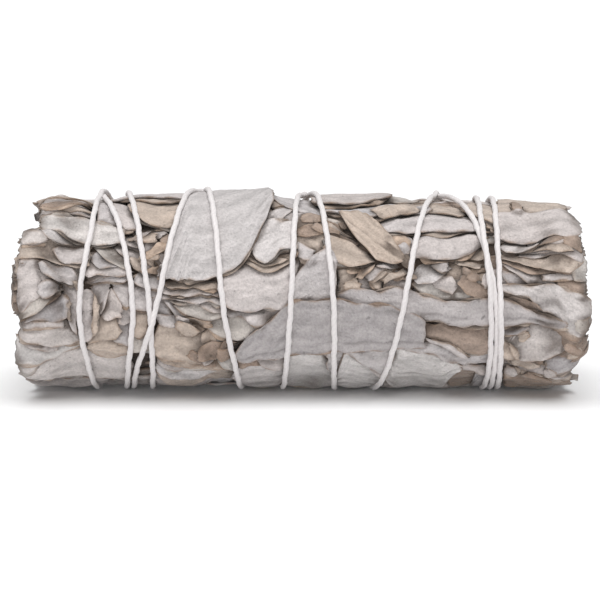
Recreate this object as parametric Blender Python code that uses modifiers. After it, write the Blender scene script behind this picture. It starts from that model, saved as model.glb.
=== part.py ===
"""A dried white sage smudge stick, lying on its side.

Seven leafy sprigs are packed side by side, one in the middle and six round it. Each has a woody
stem in its mass of pressed leaves. Broad loose leaves are laid over them, and one cotton string
is wound round everything, to one end and back, and knotted behind.

Metres, +Z up. The stick lies along X on the plane Z = 0, with the origin under its middle.
Places on the stick are given as (x, angle): the angle runs round the stick's own axis, from 0 at
the front (-Y) over the top at 90 to the back at 180, and -90 is underneath.
"""

import math

import bmesh
import bpy
import numpy as np

STICK_LENGTH = 0.1016
PACK_RADIUS = 0.0156
CORE_RADIUS = 0.0136
MIDDLE_RADIUS = 0.0060
AXIS_HEIGHT = 0.0186
MASS_HALF_LENGTH = 0.0466
LEAF_THICKNESS = 0.0006
STRING_DIAMETER = 0.0010
GAP = 0.0003

LEAF_COLOUR = (0.62, 0.58, 0.54, 1.0)
BROAD_LEAF_COLOUR = (0.68, 0.65, 0.63, 1.0)
STEM_COLOUR = (0.42, 0.31, 0.20, 1.0)
STRING_COLOUR = (0.93, 0.91, 0.88, 1.0)

RANDOM_SEED = 7


def clear_scene():
    for thing in list(bpy.data.objects):
        bpy.data.objects.remove(thing)


def new_collection(name):
    collection = bpy.data.collections.new(name)
    bpy.context.scene.collection.children.link(collection)
    return collection


def new_object(name, mesh, collection, material):
    mesh.materials.append(material)
    thing = bpy.data.objects.new(name, mesh)
    collection.objects.link(thing)
    return thing


def plain_material(name, colour, roughness):
    material = bpy.data.materials.new(name)
    material.use_nodes = True
    shader = material.node_tree.nodes["Principled BSDF"]
    shader.inputs["Base Color"].default_value = colour
    shader.inputs["Roughness"].default_value = roughness
    return material


def on_stick(x, angle, radius):
    """Points in space of places on the stick, as an array with a last side of 3."""
    turn = np.radians(angle)
    x, turn, radius = np.broadcast_arrays(x, turn, radius)
    return np.stack([x, -radius * np.cos(turn), AXIS_HEIGHT + radius * np.sin(turn)], -1)


def apply_modifier(thing, modifier):
    with bpy.context.temp_override(object=thing, active_object=thing):
        bpy.ops.object.modifier_apply(modifier=modifier.name)


def signed_volume(faces):
    """Volume inside a closed shell of triangles, below zero for the inner shell of a pocket."""
    return sum(
        face.verts[0].co.dot(face.verts[1].co.cross(face.verts[2].co)) / 6 for face in faces
    )


def keep_outer_shell(thing):
    """Makes the sealed pockets between fused leaves solid, and drops crumbs of the union.

    Each is a shell of its own in the mesh, and all but the biggest are taken out.
    """
    shape = bmesh.new()
    shape.from_mesh(thing.data)
    bmesh.ops.triangulate(shape, faces=shape.faces)
    left = set(shape.faces)
    shells = []
    while left:
        shell = [left.pop()]
        for face in shell:
            for edge in face.edges:
                for neighbour in edge.link_faces:
                    if neighbour in left:
                        left.remove(neighbour)
                        shell.append(neighbour)
        shells.append(shell)
    shells.sort(key=signed_volume)
    bmesh.ops.delete(shape, geom=sum(shells[:-1], []), context="FACES")
    shape.to_mesh(thing.data)
    shape.free()


def join_all(thing, pieces):
    """Fuses the pieces' collection into thing with one union, and removes it."""
    union = thing.modifiers.new("fuse leaves", "BOOLEAN")
    union.operation = "UNION"
    union.operand_type = "COLLECTION"
    union.collection = pieces
    union.solver = "MANIFOLD"
    apply_modifier(thing, union)
    for piece in list(pieces.objects):
        bpy.data.objects.remove(piece)
    bpy.data.collections.remove(pieces)
    keep_outer_shell(thing)


# Leaf blades
LEAF_STATIONS = 3
LEAF_COLUMNS = 2
PACKED_LEAF_THICKNESS = 0.0009


def leaf_outline(u):
    """Half-width of a sage leaf, as a share of its widest, at the share u of its length.

    It is a lance shape: a rounded rise from the stalk, widest at two fifths, and a long point.
    """
    return np.clip(np.sin(math.pi * u**0.78) ** 0.62, 0.12, 1.0)


def sheet_mesh(name, stations, columns, place):
    """A grid of (u, v), u from 0 to 1 and v from -1 to 1, put in space by the function place."""
    grid = bmesh.new()
    bmesh.ops.create_grid(grid, x_segments=stations, y_segments=columns, size=1.0)
    flat = np.array([corner.co for corner in grid.verts])
    spots = place((flat[:, 0] + 1) / 2, flat[:, 1])
    for corner, spot in zip(grid.verts, spots):
        corner.co = spot
    bmesh.ops.triangulate(grid, faces=grid.faces)
    mesh = bpy.data.meshes.new(name)
    grid.to_mesh(mesh)
    grid.free()
    return mesh


def thicken(thing, thickness):
    """Gives an open sheet its thickness, inwards from the modelled surface."""
    wall = thing.modifiers.new("thickness", "SOLIDIFY")
    wall.thickness = thickness
    wall.offset = -1.0
    wall.use_even_offset = False


class Leaf:
    """A leaf from its stalk end to its tip, each an (x, angle) place on the stick."""

    def __init__(self, stalk, tip, half_width, bow=0.0, blunt=0.0):
        self.stalk = np.array(stalk, float)
        self.tip = np.array(tip, float)
        self.half_width = half_width
        self.bow = bow
        self.blunt = blunt
        self.arc_per_degree = PACK_RADIUS * math.pi / 180
        along = (self.tip - self.stalk) * (1, self.arc_per_degree)
        self.length = float(np.hypot(*along))
        self.direction = along / self.length

    def width_at(self, u):
        """The outline, held wide at the stalk end by the share blunt for a leaf that was cut."""
        narrow = leaf_outline(np.clip(u, 0.001, 0.999))
        wide = 1 - 0.15 * u
        hold = self.blunt * np.clip(1.6 - 2.2 * u, 0, 1)
        return self.half_width * (narrow * (1 - hold) + wide * hold)

    def spot(self, u, v):
        """(x, angle) of a point of the leaf, on its bowed centre line u and v across."""
        across = v * self.width_at(u) + self.bow * 4 * u * (1 - u)
        x = self.stalk[0] + u * self.length * self.direction[0] - across * self.direction[1]
        arc = u * self.length * self.direction[1] + across * self.direction[0]
        return x, self.stalk[1] + arc / self.arc_per_degree

    def covers(self, x, angle, margin):
        """True where (x, angle) lies under the leaf or within margin of it."""
        turn = (angle - self.stalk[1] + 180) % 360 - 180
        near, far = x - self.stalk[0], turn * self.arc_per_degree
        along = near * self.direction[0] + far * self.direction[1]
        across = far * self.direction[0] - near * self.direction[1]
        u = np.clip(along / self.length, 0, 1)
        reach = self.width_at(u) + margin
        inside = (along > -margin) & (along < self.length + margin)
        return inside & (abs(across - self.bow * 4 * u * (1 - u)) < reach)


def blade_of_sprig(leaf, level, lean):
    """Place function of a packed leaf: crowned, leaning to one side, its tip standing off."""

    def place(u, v):
        x, angle = leaf.spot(u, v)
        crown = 0.00025 * (1 - v**2)
        rise = 0.00045 * u**2
        foot = CORE_RADIUS + 0.00030 + 0.00080 * level
        return on_stick(x, angle, foot + crown + rise + 0.00015 * lean * v)

    return place


# The leafy sprigs
SECTOR_WIDTHS = (58, 63, 57, 64, 60, 58)
FIRST_SECTOR = -38.0
SECTOR_GAP = 0.00030
SPRIG_STEM_RADII = (0.00105, 0.0012, 0.00095, 0.00115, 0.0010, 0.0011)
MIDDLE_STEM_RADIUS = 0.00135
STEM_RING = 0.0102
STEM_LENGTHS = (0.068, 0.074, 0.061, 0.070, 0.065, 0.072)
MIDDLE_STEM_LENGTH = 0.080
STEM_SIDES = 10

# Rows of packed leaves on a sprig: side, from -1 to 1 across its sector, and level.
LEAF_ROWS = ((-1.0, 0), (1.0, 0), (0.1, 1))
LEAVES_PER_ROW = 4

# Distances from the axis of the leaf ends that stand out of a sprig's two faces.
RIBBON_RINGS = (0.0078, 0.0103, 0.0130)


def sector_mass(name, low, high, collection, material):
    """The pressed inside of a sprig: a ring sector, its flat outline pulled along X."""
    margin = math.degrees(SECTOR_GAP / 2 / MIDDLE_RADIUS)
    outer_margin = math.degrees(SECTOR_GAP / 2 / CORE_RADIUS)
    inner = MIDDLE_RADIUS + GAP
    outside = on_stick(0, np.linspace(low + outer_margin, high - outer_margin, 8), CORE_RADIUS)
    inside = on_stick(0, np.linspace(high - margin, low + margin, 4), inner)
    shape = bmesh.new()
    corners = [shape.verts.new(spot) for spot in np.concatenate([outside, inside])]
    face = shape.faces.new(corners)
    pulled = bmesh.ops.extrude_face_region(shape, geom=[face])
    moved = [item for item in pulled["geom"] if isinstance(item, bmesh.types.BMVert)]
    bmesh.ops.translate(shape, verts=moved, vec=(2 * MASS_HALF_LENGTH, 0, 0))
    bmesh.ops.translate(shape, verts=shape.verts, vec=(-MASS_HALF_LENGTH, 0, 0))
    bmesh.ops.recalc_face_normals(shape, faces=shape.faces)
    mesh = bpy.data.meshes.new(name)
    shape.to_mesh(mesh)
    shape.free()
    return new_object(name, mesh, collection, material)


def rod(name, radius, start, end, angle, ring, sides, collection, material):
    """A cylinder along X from start to end, its axis at the angle and distance ring."""
    shape = bmesh.new()
    bmesh.ops.create_cone(
        shape,
        cap_ends=True,
        segments=sides,
        radius1=radius,
        radius2=radius,
        depth=end - start,
    )
    mesh = bpy.data.meshes.new(name)
    shape.to_mesh(mesh)
    shape.free()
    thing = new_object(name, mesh, collection, material)
    thing.rotation_euler = (0, math.pi / 2, 0)
    thing.location = on_stick((start + end) / 2, angle, ring)
    return thing


def end_ribbon(name, side, radius, low, high, reach, fold, collection, material):
    """A leaf's cut end that stands out of the mass: a bent strip, seen edge on from the end."""

    def place(u, v):
        angle = low + (high - low) * u
        wave = fold * np.sin(2.2 * math.pi * u + low)
        root = MASS_HALF_LENGTH - 0.0020
        x = side * (root + (v + 1) / 2 * (reach - root))
        return on_stick(x, angle, radius + wave)

    thing = new_object(name, sheet_mesh(name, 3, 1, place), collection, material)
    thicken(thing, LEAF_THICKNESS)
    return thing


def cut_stem_hole(thing, radius, angle, ring, length, material):
    """Bores a plain blind hole for the stem, a gap wider than it, from the left end."""
    cutter = rod(
        "stem_hole",
        radius + GAP,
        -STICK_LENGTH,
        -STICK_LENGTH / 2 + length + 0.001,
        angle,
        ring,
        STEM_SIDES,
        bpy.context.scene.collection,
        material,
    )
    bpy.context.view_layer.update()
    bore = thing.modifiers.new("stem hole", "BOOLEAN")
    bore.operation = "DIFFERENCE"
    bore.object = cutter
    bore.solver = "MANIFOLD"
    apply_modifier(thing, bore)
    bpy.data.objects.remove(cutter)


def leaves_of_sector(low, high, draw):
    """The packed leaves of one sprig, in rows that overlap like shingles along the stick."""
    middle = (low + high) / 2
    arc = math.radians(high - low) / 2 * CORE_RADIUS - SECTOR_GAP
    half_length = STICK_LENGTH / 2
    for side, level in LEAF_ROWS:
        half_width = draw.uniform(0.0037, 0.0045)
        offset = side * (arc - half_width)
        angle = middle + math.degrees(offset / CORE_RADIUS)
        pitch = 2 * half_length / LEAVES_PER_ROW
        for n in range(LEAVES_PER_ROW):
            centre = -half_length + pitch * (n + 0.5) + draw.uniform(-0.0025, 0.0025)
            length = draw.uniform(1.15, 1.35) * pitch
            heading = 1 if (n + level) % 2 else -1
            start = centre - heading * length / 2
            end = centre + heading * length / 2
            limit = half_length - draw.uniform(0.0004, 0.0022)
            start, end = np.clip([start, end], -limit, limit)
            blunt = 1.0 if abs(start) >= limit else 0.0
            slack = max(arc - half_width - abs(offset), 0) / CORE_RADIUS
            skew = math.degrees(slack) * draw.uniform(-0.5, 0.5)
            yield Leaf((start, angle - skew), (end, angle + skew), half_width, 0, blunt), level


def ribbons_of_sector(name, low, high, draw, pieces, material):
    """Cut leaf ends over both faces of one sprig, in rings that leave its stem free."""
    middle, half = (low + high) / 2, (high - low) / 2
    stem_clear = math.degrees(0.0021 / STEM_RING)
    for side in (-1, 1):
        for ring, radius in enumerate(RIBBON_RINGS):
            edge = math.degrees(0.0008 / radius)
            spans = [(middle - half + edge, middle + half - edge)]
            if ring == 1:
                spans = [
                    (spans[0][0], middle - stem_clear),
                    (middle + stem_clear, spans[0][1]),
                ]
            for part, (start, stop) in enumerate(spans):
                start += draw.uniform(0, 0.12) * (stop - start)
                stop -= draw.uniform(0, 0.12) * (stop - start)
                reach = STICK_LENGTH / 2 - draw.uniform(0.0, 0.0022)
                fold = draw.uniform(-0.00045, 0.00045)
                end_ribbon(
                    f"{name}_end_{side}_{ring}_{part}",
                    side,
                    radius,
                    start,
                    stop,
                    reach,
                    fold,
                    pieces,
                    material,
                )


def make_outer_sprig(number, low, high, draw, collection, leaf_material, stem_material):
    """One of the six outer sprigs, with its stem."""
    name = f"leafy_sprig_{number}"
    mass = sector_mass(name, low, high, collection, leaf_material)
    pieces = new_collection(f"{name}_leaves")
    for n, (leaf, level) in enumerate(leaves_of_sector(low, high, draw)):
        lean = 1 if n % 2 else -1
        sheet = sheet_mesh("blade", LEAF_STATIONS, LEAF_COLUMNS, blade_of_sprig(leaf, level, lean))
        blade = new_object(f"{name}_leaf_{n}", sheet, pieces, leaf_material)
        thicken(blade, PACKED_LEAF_THICKNESS)
    ribbons_of_sector(name, low, high, draw, pieces, leaf_material)
    bpy.context.view_layer.update()
    join_all(mass, pieces)
    radius = SPRIG_STEM_RADII[number - 1]
    length = STEM_LENGTHS[number - 1]
    middle = (low + high) / 2
    cut_stem_hole(mass, radius, middle, STEM_RING, length, leaf_material)
    start = -STICK_LENGTH / 2 + draw.uniform(0.0006, 0.0024)
    end = -STICK_LENGTH / 2 + length
    rod(
        f"stem_{number}", radius, start, end, middle, STEM_RING, STEM_SIDES, collection, stem_material
    )


def make_middle_sprig(draw, collection, leaf_material, stem_material):
    """The sprig in the middle, seen only at the stick's two ends."""
    name = "leafy_sprig_middle"
    mass = rod(
        name,
        MIDDLE_RADIUS,
        -MASS_HALF_LENGTH,
        MASS_HALF_LENGTH,
        0,
        0,
        16,
        collection,
        leaf_material,
    )
    pieces = new_collection(f"{name}_leaves")
    for side in (-1, 1):
        for ring, radius in enumerate((0.0031, 0.0048)):
            for part in range(2):
                start = 180 * part + 70 * ring + draw.uniform(0, 30)
                end_ribbon(
                    f"{name}_end_{side}_{ring}_{part}",
                    side,
                    radius,
                    start,
                    start + draw.uniform(120, 150),
                    STICK_LENGTH / 2 - draw.uniform(0.0003, 0.0016),
                    0.00025,
                    pieces,
                    leaf_material,
                )
    bpy.context.view_layer.update()
    join_all(mass, pieces)
    cut_stem_hole(mass, MIDDLE_STEM_RADIUS, 0, 0, MIDDLE_STEM_LENGTH, leaf_material)
    rod(
        "stem_middle",
        MIDDLE_STEM_RADIUS,
        -STICK_LENGTH / 2 + 0.0012,
        -STICK_LENGTH / 2 + MIDDLE_STEM_LENGTH,
        0,
        0,
        STEM_SIDES,
        collection,
        stem_material,
    )


# The broad leaves laid over the sprigs, each its own piece, in the order that they were laid.
# Name, stalk end and tip as (x in metres, angle in degrees), half-width, bow, share cut blunt.
BROAD_LEAVES = (
    ("leaf_top_left", (-0.0350, 80), (-0.0170, 64), 0.0044, 0.0, 1.0),
    ("leaf_upper_left_roll", (-0.0470, 47), (-0.0300, 41), 0.0022, 0.0, 0.4),
    ("leaf_left_end_upper", (-0.0500, 26), (-0.0340, 24), 0.0026, 0.0, 1.0),
    ("leaf_left_end_lower", (-0.0502, -12), (-0.0350, -16), 0.0027, 0.0, 1.0),
    ("leaf_low_left", (-0.0498, -43), (-0.0230, -45), 0.0031, 0.0, 1.0),
    ("leaf_middle_band", (-0.0240, 6), (-0.0055, 10), 0.0034, 0.0, 0.5),
    ("leaf_pointing_up", (-0.0105, -38), (0.0066, 28), 0.0030, 0.0, 0.0),
    ("leaf_low_middle", (-0.0040, -60), (0.0135, -61), 0.0032, 0.0, 0.6),
    ("leaf_low_right", (0.0190, -56), (0.0320, -53), 0.0033, 0.0, 0.8),
    ("leaf_long_right", (0.0120, 4), (0.0450, -7), 0.0026, 0.0008, 0.5),
    ("leaf_top_ridge", (-0.0010, 90), (0.0170, 86), 0.0026, 0.0, 0.0),
    ("leaf_tan_slanting", (0.0060, 60), (0.0190, 24), 0.0026, 0.0, 0.6),
    ("leaf_pillow", (0.0330, 33), (0.0205, 33), 0.0025, 0.0, 0.8),
    ("leaf_upper_right_roll", (0.0500, 56), (0.0255, 62), 0.0038, 0.0, 1.0),
    ("leaf_top_broad", (-0.0085, 94), (-0.0235, 16), 0.0080, 0.0, 1.0),
    ("leaf_front_broad", (0.0218, -17), (-0.0125, -41), 0.0040, 0.0008, 1.0),
    ("leaf_right_ragged", (0.0503, -1), (0.0370, 11), 0.0038, 0.0, 1.0),
    ("leaf_low_right_end", (0.0500, -38), (0.0340, -40), 0.0030, 0.0, 1.0),
    ("leaf_back_1", (-0.0500, 122), (-0.0240, 118), 0.0040, 0.0, 1.0),
    ("leaf_back_2", (0.0500, 108), (0.0200, 114), 0.0040, 0.0, 1.0),
    ("leaf_back_3", (-0.0200, 148), (0.0110, 140), 0.0044, 0.0, 0.4),
    ("leaf_back_4", (0.0480, 150), (0.0170, 154), 0.0042, 0.0, 1.0),
    ("leaf_back_5", (-0.0500, 176), (-0.0210, 172), 0.0042, 0.0, 1.0),
    ("leaf_back_6", (0.0220, 186), (-0.0110, 178), 0.0042, 0.0, 0.0),
    ("leaf_back_7", (0.0500, 190), (0.0260, 202), 0.0040, 0.0, 1.0),
    ("leaf_back_8", (-0.0260, 213), (0.0060, 215), 0.0042, 0.0, 0.2),
    ("leaf_back_9", (-0.0500, 218), (-0.0280, 228), 0.0034, 0.0, 1.0),
    ("leaf_back_10", (0.0120, 233), (0.0380, 236), 0.0034, 0.0, 0.2),
    ("leaf_under_1", (-0.0500, 272), (-0.0190, 266), 0.0042, 0.0, 1.0),
    ("leaf_under_2", (0.0220, 262), (-0.0120, 261), 0.0035, 0.0, 0.0),
    ("leaf_under_3", (0.0500, 266), (0.0280, 264), 0.0036, 0.0, 1.0),
)
BROAD_STATIONS = 6
BROAD_COLUMNS = 3
CELL = 0.0005
ANGLE_CELL = 1.5
MAP_MARGIN = 0.0040


class Ground:
    """A map over (x, angle) of how far out the surface reaches, as each leaf is laid on it."""

    def __init__(self):
        half = STICK_LENGTH / 2 + MAP_MARGIN
        self.x = np.arange(-half, half, CELL)
        self.angle = np.arange(0, 360, ANGLE_CELL)
        self.top = np.full((len(self.x), len(self.angle)), PACK_RADIUS)

    def spread(self, along, around):
        """The map with each height carried out both ways, as a stiff leaf or string bridges it."""
        wide = self.top.copy()
        for step in range(1, math.ceil(along / CELL) + 1):
            wide[step:] = np.maximum(wide[step:], self.top[:-step])
            wide[:-step] = np.maximum(wide[:-step], self.top[step:])
        turned = wide.copy()
        cell = PACK_RADIUS * math.radians(ANGLE_CELL)
        for step in range(1, math.ceil(around / cell) + 1):
            for way in (-step, step):
                turned = np.maximum(turned, np.roll(wide, way, axis=1))
        return turned

    def read(self, heights, x, angle):
        row = np.clip(np.rint((x - self.x[0]) / CELL).astype(int), 0, len(self.x) - 1)
        column = np.rint(np.mod(angle, 360) / ANGLE_CELL).astype(int) % len(self.angle)
        return heights[row, column]

    def lay(self, leaf):
        """Puts a leaf down, and returns the place function of its outer surface."""
        step_long = leaf.length / BROAD_STATIONS
        step_wide = 2 * leaf.half_width / BROAD_COLUMNS
        lengthwise, sideways = abs(leaf.direction)
        along = max(lengthwise * step_long, sideways * step_wide)
        around = max(sideways * step_long, lengthwise * step_wide)
        heights = self.spread(along, around) + GAP + LEAF_THICKNESS
        x, angle = np.meshgrid(self.x, self.angle, indexing="ij")
        under = leaf.covers(x, angle, 0.0005)
        self.top[under] = heights[under] + 0.0001

        def place(u, v):
            spot_x, spot_angle = leaf.spot(u, v)
            spot_x = np.clip(spot_x, -STICK_LENGTH / 2, STICK_LENGTH / 2)
            ripple = 0.0001 * np.sin(9 * u + 3 * v)
            radius = self.read(heights, spot_x, spot_angle) + ripple
            return on_stick(spot_x, spot_angle, radius)

        return place


def make_broad_leaves(ground, collection, material):
    for name, stalk, tip, half_width, bow, blunt in BROAD_LEAVES:
        leaf = Leaf(stalk, tip, half_width, bow, blunt)
        place = ground.lay(leaf)
        mesh = sheet_mesh(name, BROAD_STATIONS, BROAD_COLUMNS, place)
        thicken(new_object(name, mesh, collection, material), LEAF_THICKNESS)


# The cotton string. It starts at the knot behind, is wound to the right end in seven passes over
# the front, and comes back in four. Each pass gives x at the angles 90, 45, 0, -45 and -90.
PASSES = (
    (-0.0361, -0.0318, -0.0294, -0.0309, -0.0325),
    (-0.0315, -0.0286, -0.0265, -0.0265, -0.0276),
    (-0.0170, -0.0150, -0.0136, -0.0116, -0.0109),
    (0.0025, 0.0044, 0.0057, 0.0059, 0.0064),
    (0.0274, 0.0314, 0.0340, 0.0346, 0.0350),
    (0.0322, 0.0320, 0.0331, 0.0336, 0.0336),
    (0.0350, 0.0345, 0.0348, 0.0356, 0.0363),
    (0.0239, 0.0206, 0.0179, 0.0153, 0.0129),
    (-0.0004, -0.0012, -0.0018, -0.0027, -0.0036),
    (-0.0203, -0.0225, -0.0252, -0.0293, -0.0312),
    (-0.0367, -0.0371, -0.0387, -0.0379, -0.0376),
)
KNOT_X = -0.0370
KNOT_STRAND_OFFSET = 0.00062
TAIL_TURN = 30
TAIL_REACH = 0.0050
POINTS_PER_TURN = 18
STRAND_SPACING = STRING_DIAMETER + 0.00012
FLAT_HALF_TURN = 18.0
PRESS = 0.0002
KNOT_LIFT = 0.0009
KNOT_RING_RADIUS = 0.0011
KNOT_RING_THICKNESS = 0.00050


def smooth_through(knots, values, wanted):
    """A smooth curve through (knots, values), with the slope at a knot set by its neighbours."""
    slopes = np.gradient(values, knots)
    left = np.clip(np.searchsorted(knots, wanted, side="right") - 1, 0, len(knots) - 2)
    span = knots[left + 1] - knots[left]
    t = (wanted - knots[left]) / span
    rise = values[left + 1] - values[left]
    start, end = slopes[left] * span, slopes[left + 1] * span
    bend = (start - rise) * (1 - t) - (end - rise) * t
    return values[left] + rise * t + t * (1 - t) * bend


def string_route():
    """(x, turn) along the string. The turn counts up from the knot, where the angle is 180."""
    knots, values = [-TAIL_TURN, 0], [KNOT_X - TAIL_REACH, KNOT_X - KNOT_STRAND_OFFSET]
    for number, places in enumerate(PASSES):
        knots += [360 * number + 90 + 45 * step for step in range(5)]
        values += places
    whole = 360 * len(PASSES)
    knots += [whole, whole + TAIL_TURN]
    values += [KNOT_X + KNOT_STRAND_OFFSET, KNOT_X + TAIL_REACH]
    turn = np.linspace(-TAIL_TURN, whole + TAIL_TURN, POINTS_PER_TURN * len(PASSES) + 6)
    return smooth_through(np.array(knots, float), np.array(values), turn), turn


def relax(radius, rounds):
    """Rounds off a string's distance from the axis without letting it come nearer."""
    eased = radius.copy()
    for _ in range(rounds):
        eased[1:-1] = (eased[:-2] + 2 * eased[1:-1] + eased[2:]) / 4
        eased = np.maximum(eased, radius)
    return eased


def string_points(ground):
    """The string's centre line: over the leaves, over itself, and straight where it lies flat."""
    x, turn = string_route()
    angle = 180 - turn
    bridged = ground.spread(STRING_DIAMETER, math.pi * PACK_RADIUS / POINTS_PER_TURN)
    outward = ground.read(bridged, x, angle) + GAP + STRING_DIAMETER / 2
    sag = PACK_RADIUS * (1 - math.cos(math.radians(180 / POINTS_PER_TURN)))
    radius = relax(outward + sag, 4)

    from_bottom = abs((angle + 90 + 180) % 360 - 180)
    floor_line = (AXIS_HEIGHT - STRING_DIAMETER / 2 + PRESS) / np.cos(np.radians(from_bottom))
    flat = from_bottom < FLAT_HALF_TURN
    radius[flat] = floor_line[flat]

    arc = np.radians(angle) * PACK_RADIUS
    whole_turn = 2 * math.pi * PACK_RADIUS
    for n in range(len(x)):
        earlier = turn[: n + 1] < turn[n] - 90
        across = x[: n + 1][earlier] - x[n]
        along = (arc[: n + 1][earlier] - arc[n] + whole_turn / 2) % whole_turn - whole_turn / 2
        room = STRAND_SPACING**2 - across**2 - 0.15 * along**2
        over = (room > 0) & (abs(along) < 1.6 * STRAND_SPACING)
        if over.any():
            needed = radius[: n + 1][earlier][over] + np.sqrt(room[over])
            radius[n] = max(radius[n], needed.max())
    at_knot = np.minimum(abs(turn), abs(turn - 360 * len(PASSES)))
    radius += KNOT_LIFT * np.exp(-((at_knot / 14.0) ** 2))
    return on_stick(x, angle, radius)


def make_string(ground, collection, material):
    """The string as one tube, with the two turns of its knot fused to it behind the stick."""
    points = string_points(ground)
    curve = bpy.data.curves.new("cotton_string", "CURVE")
    curve.dimensions = "3D"
    curve.bevel_depth = STRING_DIAMETER / 2
    curve.bevel_resolution = 2
    curve.use_fill_caps = True
    line = curve.splines.new("POLY")
    line.points.add(len(points) - 1)
    for point, spot in zip(line.points, points):
        point.co = (*spot, 1.0)
    guide = bpy.data.objects.new("string_guide", curve)
    collection.objects.link(guide)
    bpy.context.view_layer.update()
    evaluated = guide.evaluated_get(bpy.context.evaluated_depsgraph_get())
    mesh = bpy.data.meshes.new_from_object(evaluated)
    bpy.data.objects.remove(guide)
    tube = bmesh.new()
    tube.from_mesh(mesh)
    bmesh.ops.remove_doubles(tube, verts=tube.verts, dist=0.00001)
    for corner in tube.verts:
        corner.co.z = max(corner.co.z, 0.0)
    tube.to_mesh(mesh)
    tube.free()
    mesh.materials.clear()
    string = new_object("cotton_string", mesh, collection, material)

    turns = new_collection("knot_turns")
    centre = PACK_RADIUS + GAP + STRING_DIAMETER / 2 + KNOT_LIFT
    for way in (-1, 1):
        bpy.ops.mesh.primitive_torus_add(
            major_segments=12,
            minor_segments=6,
            major_radius=KNOT_RING_RADIUS,
            minor_radius=KNOT_RING_THICKNESS,
        )
        ring = bpy.context.object
        ring.name = f"knot_turn_{way}"
        for owner in list(ring.users_collection):
            owner.objects.unlink(ring)
        turns.objects.link(ring)
        ring.scale = (1.0, 0.72, 1.0)
        ring.rotation_euler = (math.radians(18 * way), math.radians(14), 0)
        place = on_stick(KNOT_X, 180 + 2.2 * way, centre + 0.00035)
        ring.location = place
    bpy.context.view_layer.update()
    join_all(string, turns)


def centre_over_origin(collection):
    """Moves the whole stick by the fraction of a millimetre that its outline is off centre."""
    bpy.context.view_layer.update()
    reader = bpy.context.evaluated_depsgraph_get()
    spots = []
    for thing in collection.objects:
        mesh = thing.evaluated_get(reader).to_mesh()
        spots += [thing.matrix_world @ corner.co for corner in mesh.vertices]
    spots = np.array(spots)
    middle = (spots.min(axis=0) + spots.max(axis=0)) / 2
    for thing in collection.objects:
        thing.location.x -= middle[0]
        thing.location.y -= middle[1]


def shade(collection):
    for thing in collection.objects:
        thing.data.shade_smooth()
        thing.data.set_sharp_from_angle(angle=math.radians(40))


def main():
    clear_scene()
    stick = new_collection("smudge_stick")
    leaf_material = plain_material("packed leaf", LEAF_COLOUR, 0.9)
    broad_material = plain_material("broad leaf", BROAD_LEAF_COLOUR, 0.85)
    stem_material = plain_material("woody stem", STEM_COLOUR, 0.8)
    string_material = plain_material("cotton", STRING_COLOUR, 0.95)

    draw = np.random.default_rng(RANDOM_SEED)
    low = FIRST_SECTOR
    for number, width in enumerate(SECTOR_WIDTHS, start=1):
        make_outer_sprig(number, low, low + width, draw, stick, leaf_material, stem_material)
        low += width
    make_middle_sprig(draw, stick, leaf_material, stem_material)
    ground = Ground()
    make_broad_leaves(ground, stick, broad_material)
    make_string(ground, stick, string_material)
    centre_over_origin(stick)
    shade(stick)


main()
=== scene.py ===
import math

import bpy
import numpy as np
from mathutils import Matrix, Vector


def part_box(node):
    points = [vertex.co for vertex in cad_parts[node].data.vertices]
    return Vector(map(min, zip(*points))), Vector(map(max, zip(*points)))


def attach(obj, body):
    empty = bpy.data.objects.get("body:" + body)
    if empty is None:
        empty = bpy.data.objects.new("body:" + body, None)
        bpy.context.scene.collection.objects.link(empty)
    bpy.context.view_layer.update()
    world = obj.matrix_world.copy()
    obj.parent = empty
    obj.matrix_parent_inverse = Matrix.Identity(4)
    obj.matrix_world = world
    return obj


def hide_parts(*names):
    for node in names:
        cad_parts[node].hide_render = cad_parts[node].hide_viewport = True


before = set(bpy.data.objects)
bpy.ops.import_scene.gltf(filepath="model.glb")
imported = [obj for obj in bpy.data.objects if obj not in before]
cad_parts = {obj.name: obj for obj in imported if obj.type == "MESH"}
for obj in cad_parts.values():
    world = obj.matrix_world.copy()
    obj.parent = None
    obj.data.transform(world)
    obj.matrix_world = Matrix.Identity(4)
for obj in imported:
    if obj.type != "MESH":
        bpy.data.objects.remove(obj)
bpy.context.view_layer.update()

# The bed of leaves
# The stick is a packed roll of dried sage leaves. Each leaf here is laid on the ones before it,
# so the roll is kept as a map of how far out it reaches, in mm, at each place x and angle.
# Angles run round the stick in degrees: 0 is the front, 90 the top, 180 the back.
AXIS_HEIGHT = 18.6
STICK_LENGTH = 101.6
OFF_CENTRE = (-0.08, 0.08)
CORE_RADIUS = 15.0
CELL = 0.3
ARC_PER_DEGREE = 0.3

map_x = np.arange(-57.0, 57.0, CELL)
bed = np.full((len(map_x), 360), CORE_RADIUS)


def on_stick(x, angle, radius):
    """Points in metres: x along, -radius * cos(angle) in depth, radius * sin(angle) up."""
    turn = np.radians(angle)
    deep = -radius * np.cos(turn) + OFF_CENTRE[1]
    up = AXIS_HEIGHT + radius * np.sin(turn)
    return np.stack([x + OFF_CENTRE[0], deep, up], -1) * 0.001


def smoothed(field, reach):
    """The map blurred by a Gaussian of the given reach in mm, done as a product of spectra."""
    along = np.fft.fftfreq(field.shape[0], CELL)[:, None]
    around = np.fft.rfftfreq(field.shape[1], ARC_PER_DEGREE)[None, :]
    window = np.exp(-2 * (math.pi * reach) ** 2 * (along**2 + around**2))
    return np.fft.irfft2(np.fft.rfft2(field) * window, s=field.shape)


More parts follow.
